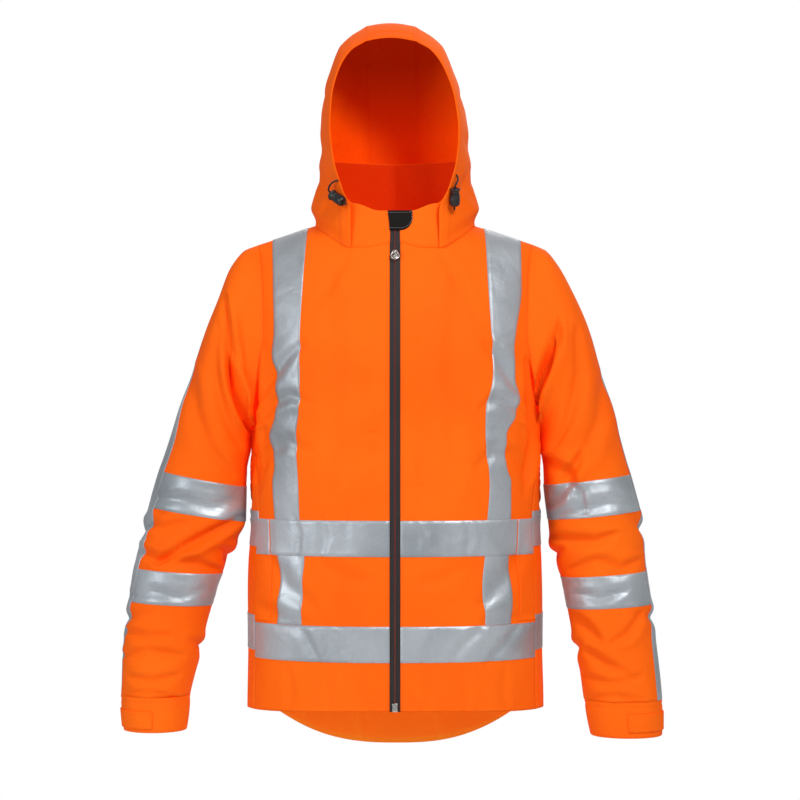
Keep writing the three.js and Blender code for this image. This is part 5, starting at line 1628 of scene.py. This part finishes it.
def newMaterial(name, shown, values):
    material = bpy.data.materials.new(name)
    material.use_nodes = True
    material.diffuse_color = (*shown, 1)
    shader = material.node_tree.nodes["Principled BSDF"]
    for title, value in values.items():
        shader.inputs[title].default_value = value
    return material, material.node_tree, shader


def placeGroup(tree, group, values):
    node = tree.nodes.new("ShaderNodeGroup")
    node.node_tree = group
    for title, value in values.items():
        node.inputs[title].default_value = value
    return node


def colourRamp(tree, source, stops):
    node = tree.nodes.new("ShaderNodeValToRGB")
    node.color_ramp.elements[0].position = stops[0][0]
    node.color_ramp.elements[0].color = (*stops[0][1], 1)
    node.color_ramp.elements[1].position = stops[-1][0]
    node.color_ramp.elements[1].color = (*stops[-1][1], 1)
    for position, colour in stops[1:-1]:
        node.color_ramp.elements.new(position).color = (*colour, 1)
    tree.links.new(source, node.inputs["Fac"])
    return node.outputs["Color"]


def spread(tree, source, low, high):
    node = tree.nodes.new("ShaderNodeMapRange")
    node.inputs["From Min"].default_value = 0.3
    node.inputs["From Max"].default_value = 0.7
    node.inputs["To Min"].default_value = low
    node.inputs["To Max"].default_value = high
    tree.links.new(source, node.inputs["Value"])
    return node.outputs[0]


# Bumps in a row, each a (height, strength, distance) on the shader's normal.
def addBumps(tree, shader, bumps):
    last = None
    for height, strength, distance in bumps:
        node = tree.nodes.new("ShaderNodeBump")
        node.inputs["Strength"].default_value = strength
        node.inputs["Distance"].default_value = distance
        tree.links.new(height, node.inputs["Height"])
        if last is not None:
            tree.links.new(last, node.inputs["Normal"])
        last = node.outputs["Normal"]
    tree.links.new(last, shader.inputs["Normal"])


# Its colour can be darkened with height as painted shade: from the first height to the second, down to a
# share of it.
def clothMaterial(name, colours, values, threads, rumple, weaveDepth, shadeByHeight=None):
    material, tree, shader = newMaterial(name, colours[1], values)
    cloth = placeGroup(tree, weave, {"Threads": threads, "Uneven": 0.4})
    worn = placeGroup(tree, handling, {"Patch": 4.5, "Rumple": 24.0})
    tone = mathNode(tree, "ADD", mathNode(tree, "MULTIPLY", worn.outputs["Patches"], 0.75),
                    mathNode(tree, "MULTIPLY", cloth.outputs["Tone"], 0.25))
    colour = colourRamp(tree, tone, [(0.34, colours[0]), (0.66, colours[1])])
    if shadeByHeight is not None:
        place = tree.nodes.new("ShaderNodeTexCoord")
        split = tree.nodes.new("ShaderNodeSeparateXYZ")
        tree.links.new(place.outputs["Object"], split.inputs[0])
        height = tree.nodes.new("ShaderNodeMapRange")
        start, end, share = shadeByHeight
        for title, value in (("From Min", start), ("From Max", end), ("To Min", 1.0), ("To Max", share)):
            height.inputs[title].default_value = value
        tree.links.new(split.outputs["Z"], height.inputs["Value"])
        shade = tree.nodes.new("ShaderNodeVectorMath")
        shade.operation = "SCALE"
        tree.links.new(colour, shade.inputs[0])
        tree.links.new(height.outputs[0], shade.inputs["Scale"])
        colour = shade.outputs[0]
    tree.links.new(colour, shader.inputs["Base Color"])
    tree.links.new(spread(tree, worn.outputs["Patches"], 0.58, 0.72), shader.inputs["Roughness"])
    soft = (worn.outputs["Rumples"], rumple, 0.006)
    addBumps(tree, shader, [soft, (cloth.outputs["Height"], 0.35, weaveDepth)])
    return material


# The shell's faint red-orange emission is a painted glow that stands in for the dye's fluorescence.
shellOrange = clothMaterial(
    "shell_orange", [(0.97, 0.125, 0.004), (1.0, 0.165, 0.007)],
    {"Specular IOR Level": 0.06, "Emission Color": (1.0, 0.03, 0.0, 1), "Emission Strength": 0.08},
    1500.0, 0.22, 0.0002)
# Inside of the body, sleeves and tapes: the shell's cloth painted lighter than the shell and given a glow,
# as painted light on the inner faces.
litLiningOrange = clothMaterial(
    "lining_orange_painted_light", [(0.93, 0.26, 0.013), (1.0, 0.32, 0.017)],
    {"Specular IOR Level": 0.08, "Emission Color": (1.0, 0.03, 0.0, 1), "Emission Strength": 0.18},
    1200.0, 0.2, 0.0002)
# Inside of the hood: the shell's cloth with painted shade, darker and redder than the shell and darker
# still from 0.13 m up to the crown at 0.24 m, plus a faint painted red glow.
shadedHoodLining = clothMaterial(
    "hood_lining_painted_shade", [(0.90, 0.085, 0.001), (1.0, 0.14, 0.003)],
    {"Specular IOR Level": 0.03, "Emission Color": (1.0, 0.012, 0.0, 1), "Emission Strength": 0.1},
    1200.0, 0.25, 0.0002, (0.13, 0.24, 0.42))
# Inside of the collar: the shell's cloth painted much darker, as painted shade, with a faint painted red
# glow.
shadedCollarLining = clothMaterial(
    "collar_lining_painted_shade", [(0.66, 0.036, 0.001), (0.76, 0.056, 0.002)],
    {"Specular IOR Level": 0.03, "Emission Color": (1.0, 0.0, 0.0, 1), "Emission Strength": 0.05},
    1200.0, 0.25, 0.0002)
zipBlack = clothMaterial(
    "zip_black", [(0.012, 0.010, 0.011), (0.024, 0.019, 0.020)],
    {"Specular IOR Level": 0.4}, 1300.0, 0.08, 0.00015)
guardBlack = clothMaterial(
    "guard_black", [(0.004, 0.003, 0.003), (0.009, 0.006, 0.006)],
    {"Specular IOR Level": 0.15}, 1300.0, 0.1, 0.00015)
cordBlack = clothMaterial(
    "cord_black", [(0.008, 0.007, 0.008), (0.022, 0.02, 0.021)],
    {"Specular IOR Level": 0.35, "Sheen Weight": 0.1}, 900.0, 0.1, 0.0003)
# Orange thread, with the same kind of faint painted glow as the shell.
threadOrange = clothMaterial(
    "thread_orange", [(0.93, 0.10, 0.004), (1.0, 0.15, 0.008)],
    {"Specular IOR Level": 0.4, "Emission Color": (1.0, 0.03, 0.0, 1), "Emission Strength": 0.1},
    3000.0, 0.1, 0.0001)
threadGrey = clothMaterial(
    "thread_grey", [(0.36, 0.38, 0.40), (0.48, 0.50, 0.52)],
    {"Specular IOR Level": 0.4}, 3000.0, 0.1, 0.0001)


def tapeMaterial():
    material, tree, shader = newMaterial("tape_silver", (0.45, 0.49, 0.52), {
        "Metallic": 0.45, "Specular IOR Level": 0.5, "Sheen Weight": 0.1, "Sheen Roughness": 0.35})
    grain = placeGroup(tree, beads, {"Beads": 2600.0})
    worn = placeGroup(tree, handling, {"Patch": 7.0, "Rumple": 34.0})
    tone = mathNode(tree, "ADD", mathNode(tree, "MULTIPLY", worn.outputs["Patches"], 0.8),
                    mathNode(tree, "MULTIPLY", grain.outputs["Tone"], 0.2))
    stops = [(0.36, (0.31, 0.345, 0.375)), (0.62, (0.51, 0.55, 0.595))]
    tree.links.new(colourRamp(tree, tone, stops), shader.inputs["Base Color"])
    tree.links.new(spread(tree, worn.outputs["Rumples"], 0.4, 0.52), shader.inputs["Roughness"])
    addBumps(tree, shader, [(worn.outputs["Rumples"], 0.3, 0.006), (grain.outputs["Height"], 0.25, 0.0001)])
    return material


def hardMaterial(name, colours, values, rough, scratches):
    material, tree, shader = newMaterial(name, colours[1], values)
    place = tree.nodes.new("ShaderNodeTexCoord")
    grain = tree.nodes.new("ShaderNodeTexNoise")
    grain.inputs["Scale"].default_value = scratches
    grain.inputs["Detail"].default_value = 4.0
    tree.links.new(place.outputs["Object"], grain.inputs["Vector"])
    colour = colourRamp(tree, grain.outputs["Fac"], [(0.3, colours[0]), (0.7, colours[1])])
    tree.links.new(colour, shader.inputs["Base Color"])
    tree.links.new(spread(tree, grain.outputs["Fac"], *rough), shader.inputs["Roughness"])
    addBumps(tree, shader, [(grain.outputs["Fac"], 0.15, 0.0003)])
    return material


tapeSilver = tapeMaterial()
blackPlastic = hardMaterial("black_plastic", [(0.008, 0.008, 0.009), (0.02, 0.02, 0.022)],
                            {"Specular IOR Level": 0.5}, (0.3, 0.45), 900.0)
nickel = hardMaterial("nickel", [(0.5, 0.49, 0.47), (0.66, 0.65, 0.63)],
                      {"Metallic": 1.0}, (0.22, 0.36), 700.0)
print("stage: finishes made")

size = (thread["length"], thread["thick"], thread["thick"] * 0.8)
for kind, finish in (("shell", threadOrange), ("tape", threadGrey)):
    title = "stitches_" + kind
    pieces[title] = runPiece(title, stitchLines[kind], thread["pitch"], size, finish)
teethZ = np.linspace(frontZip["topZ"] - 4, frontZip["bottomZ"] + 14, 300)
teeth = [np.stack([np.full(300, x), zipY(teethZ) + frontZip["sink"] + frontZip["wall"] + 0.35, teethZ], 1)
         for x in (-frontZip["teethX"], frontZip["teethX"])]
toothSize = frontZip["toothSize"]
pieces["zip_teeth"] = runPiece("zip_teeth", teeth, frontZip["toothPitch"], toothSize, blackPlastic)
print("stage: stitches and teeth made,", len(pieces["stitches_shell"].data.polygons), "and",
      len(pieces["stitches_tape"].data.polygons), "faces")

# What each piece is: its finish, its slot and the CAD node it stands for

tapeWords = ("brace", "band", "strip", "welt_tape")
finishes = {}
for name in pieces:
    if name.startswith("stitches"):
        continue
    if any(word in name for word in tapeWords):
        finishes[name] = ([tapeSilver, litLiningOrange], "reflective_tape")
    elif name.startswith(("zip_left", "zip_right")):
        finishes[name] = ([zipBlack, zipBlack], "zip_black")
    elif name == "chin_guard":
        finishes[name] = ([guardBlack, guardBlack], "zip_black")
    elif name.startswith(("zip_slider", "zip_pull", "zip_box")):
        finishes[name] = ([nickel], "zip_metal")
    elif name.startswith(("cord_", "zip_teeth")):
        finishes[name] = ([blackPlastic], "lock_plastic")
    elif name.startswith("hood"):
        finishes[name] = ([shellOrange, shadedHoodLining], "shell_fabric")
    elif name.startswith("collar"):
        finishes[name] = ([shellOrange, shadedCollarLining], "shell_fabric")
    else:
        finishes[name] = ([shellOrange, litLiningOrange], "shell_fabric")
for name, (materials, slotName) in finishes.items():
    piece = pieces[name]
    if not piece.data.materials:
        for material in materials:
            piece.data.materials.append(material)
    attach(piece, "pull" if name == "zip_pull" else "jacket")
    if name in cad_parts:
        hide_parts(name)
for name, slotName in (("stitches_shell", "shell_fabric"), ("stitches_tape", "reflective_tape")):
    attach(pieces[name], "jacket")
for side, cord in cords.items():
    cord.data.materials.append(cordBlack)
    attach(cord, "jacket")
    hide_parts("drawcord_" + side)
for side, cord in cords.items():
    line = cordLines[side] * mm
    length = drawcord["lengths"][side] * mm


# Floor

floorPlate = {"z": -1.32, "radius": 2.0}


def makeFloor():
    count = 96
    radius = floorPlate["radius"]
    turns = [2 * math.pi * k / count for k in range(count)]
    vertices = [(0, 0, floorPlate["z"])]
    vertices += [(radius * math.cos(turn), radius * math.sin(turn), floorPlate["z"]) for turn in turns]
    faceList = [(0, k + 1, (k + 1) % count + 1) for k in range(count)]
    mesh = bpy.data.meshes.new("floor")
    mesh.from_pydata(vertices, [], faceList)
    plate = addToScene("floor", mesh)
    material = hardMaterial("floor_pale", [(0.86, 0.86, 0.86), (0.88, 0.88, 0.88)], {}, (0.8, 0.9), 3.0)
    mesh.materials.append(material)


makeFloor()
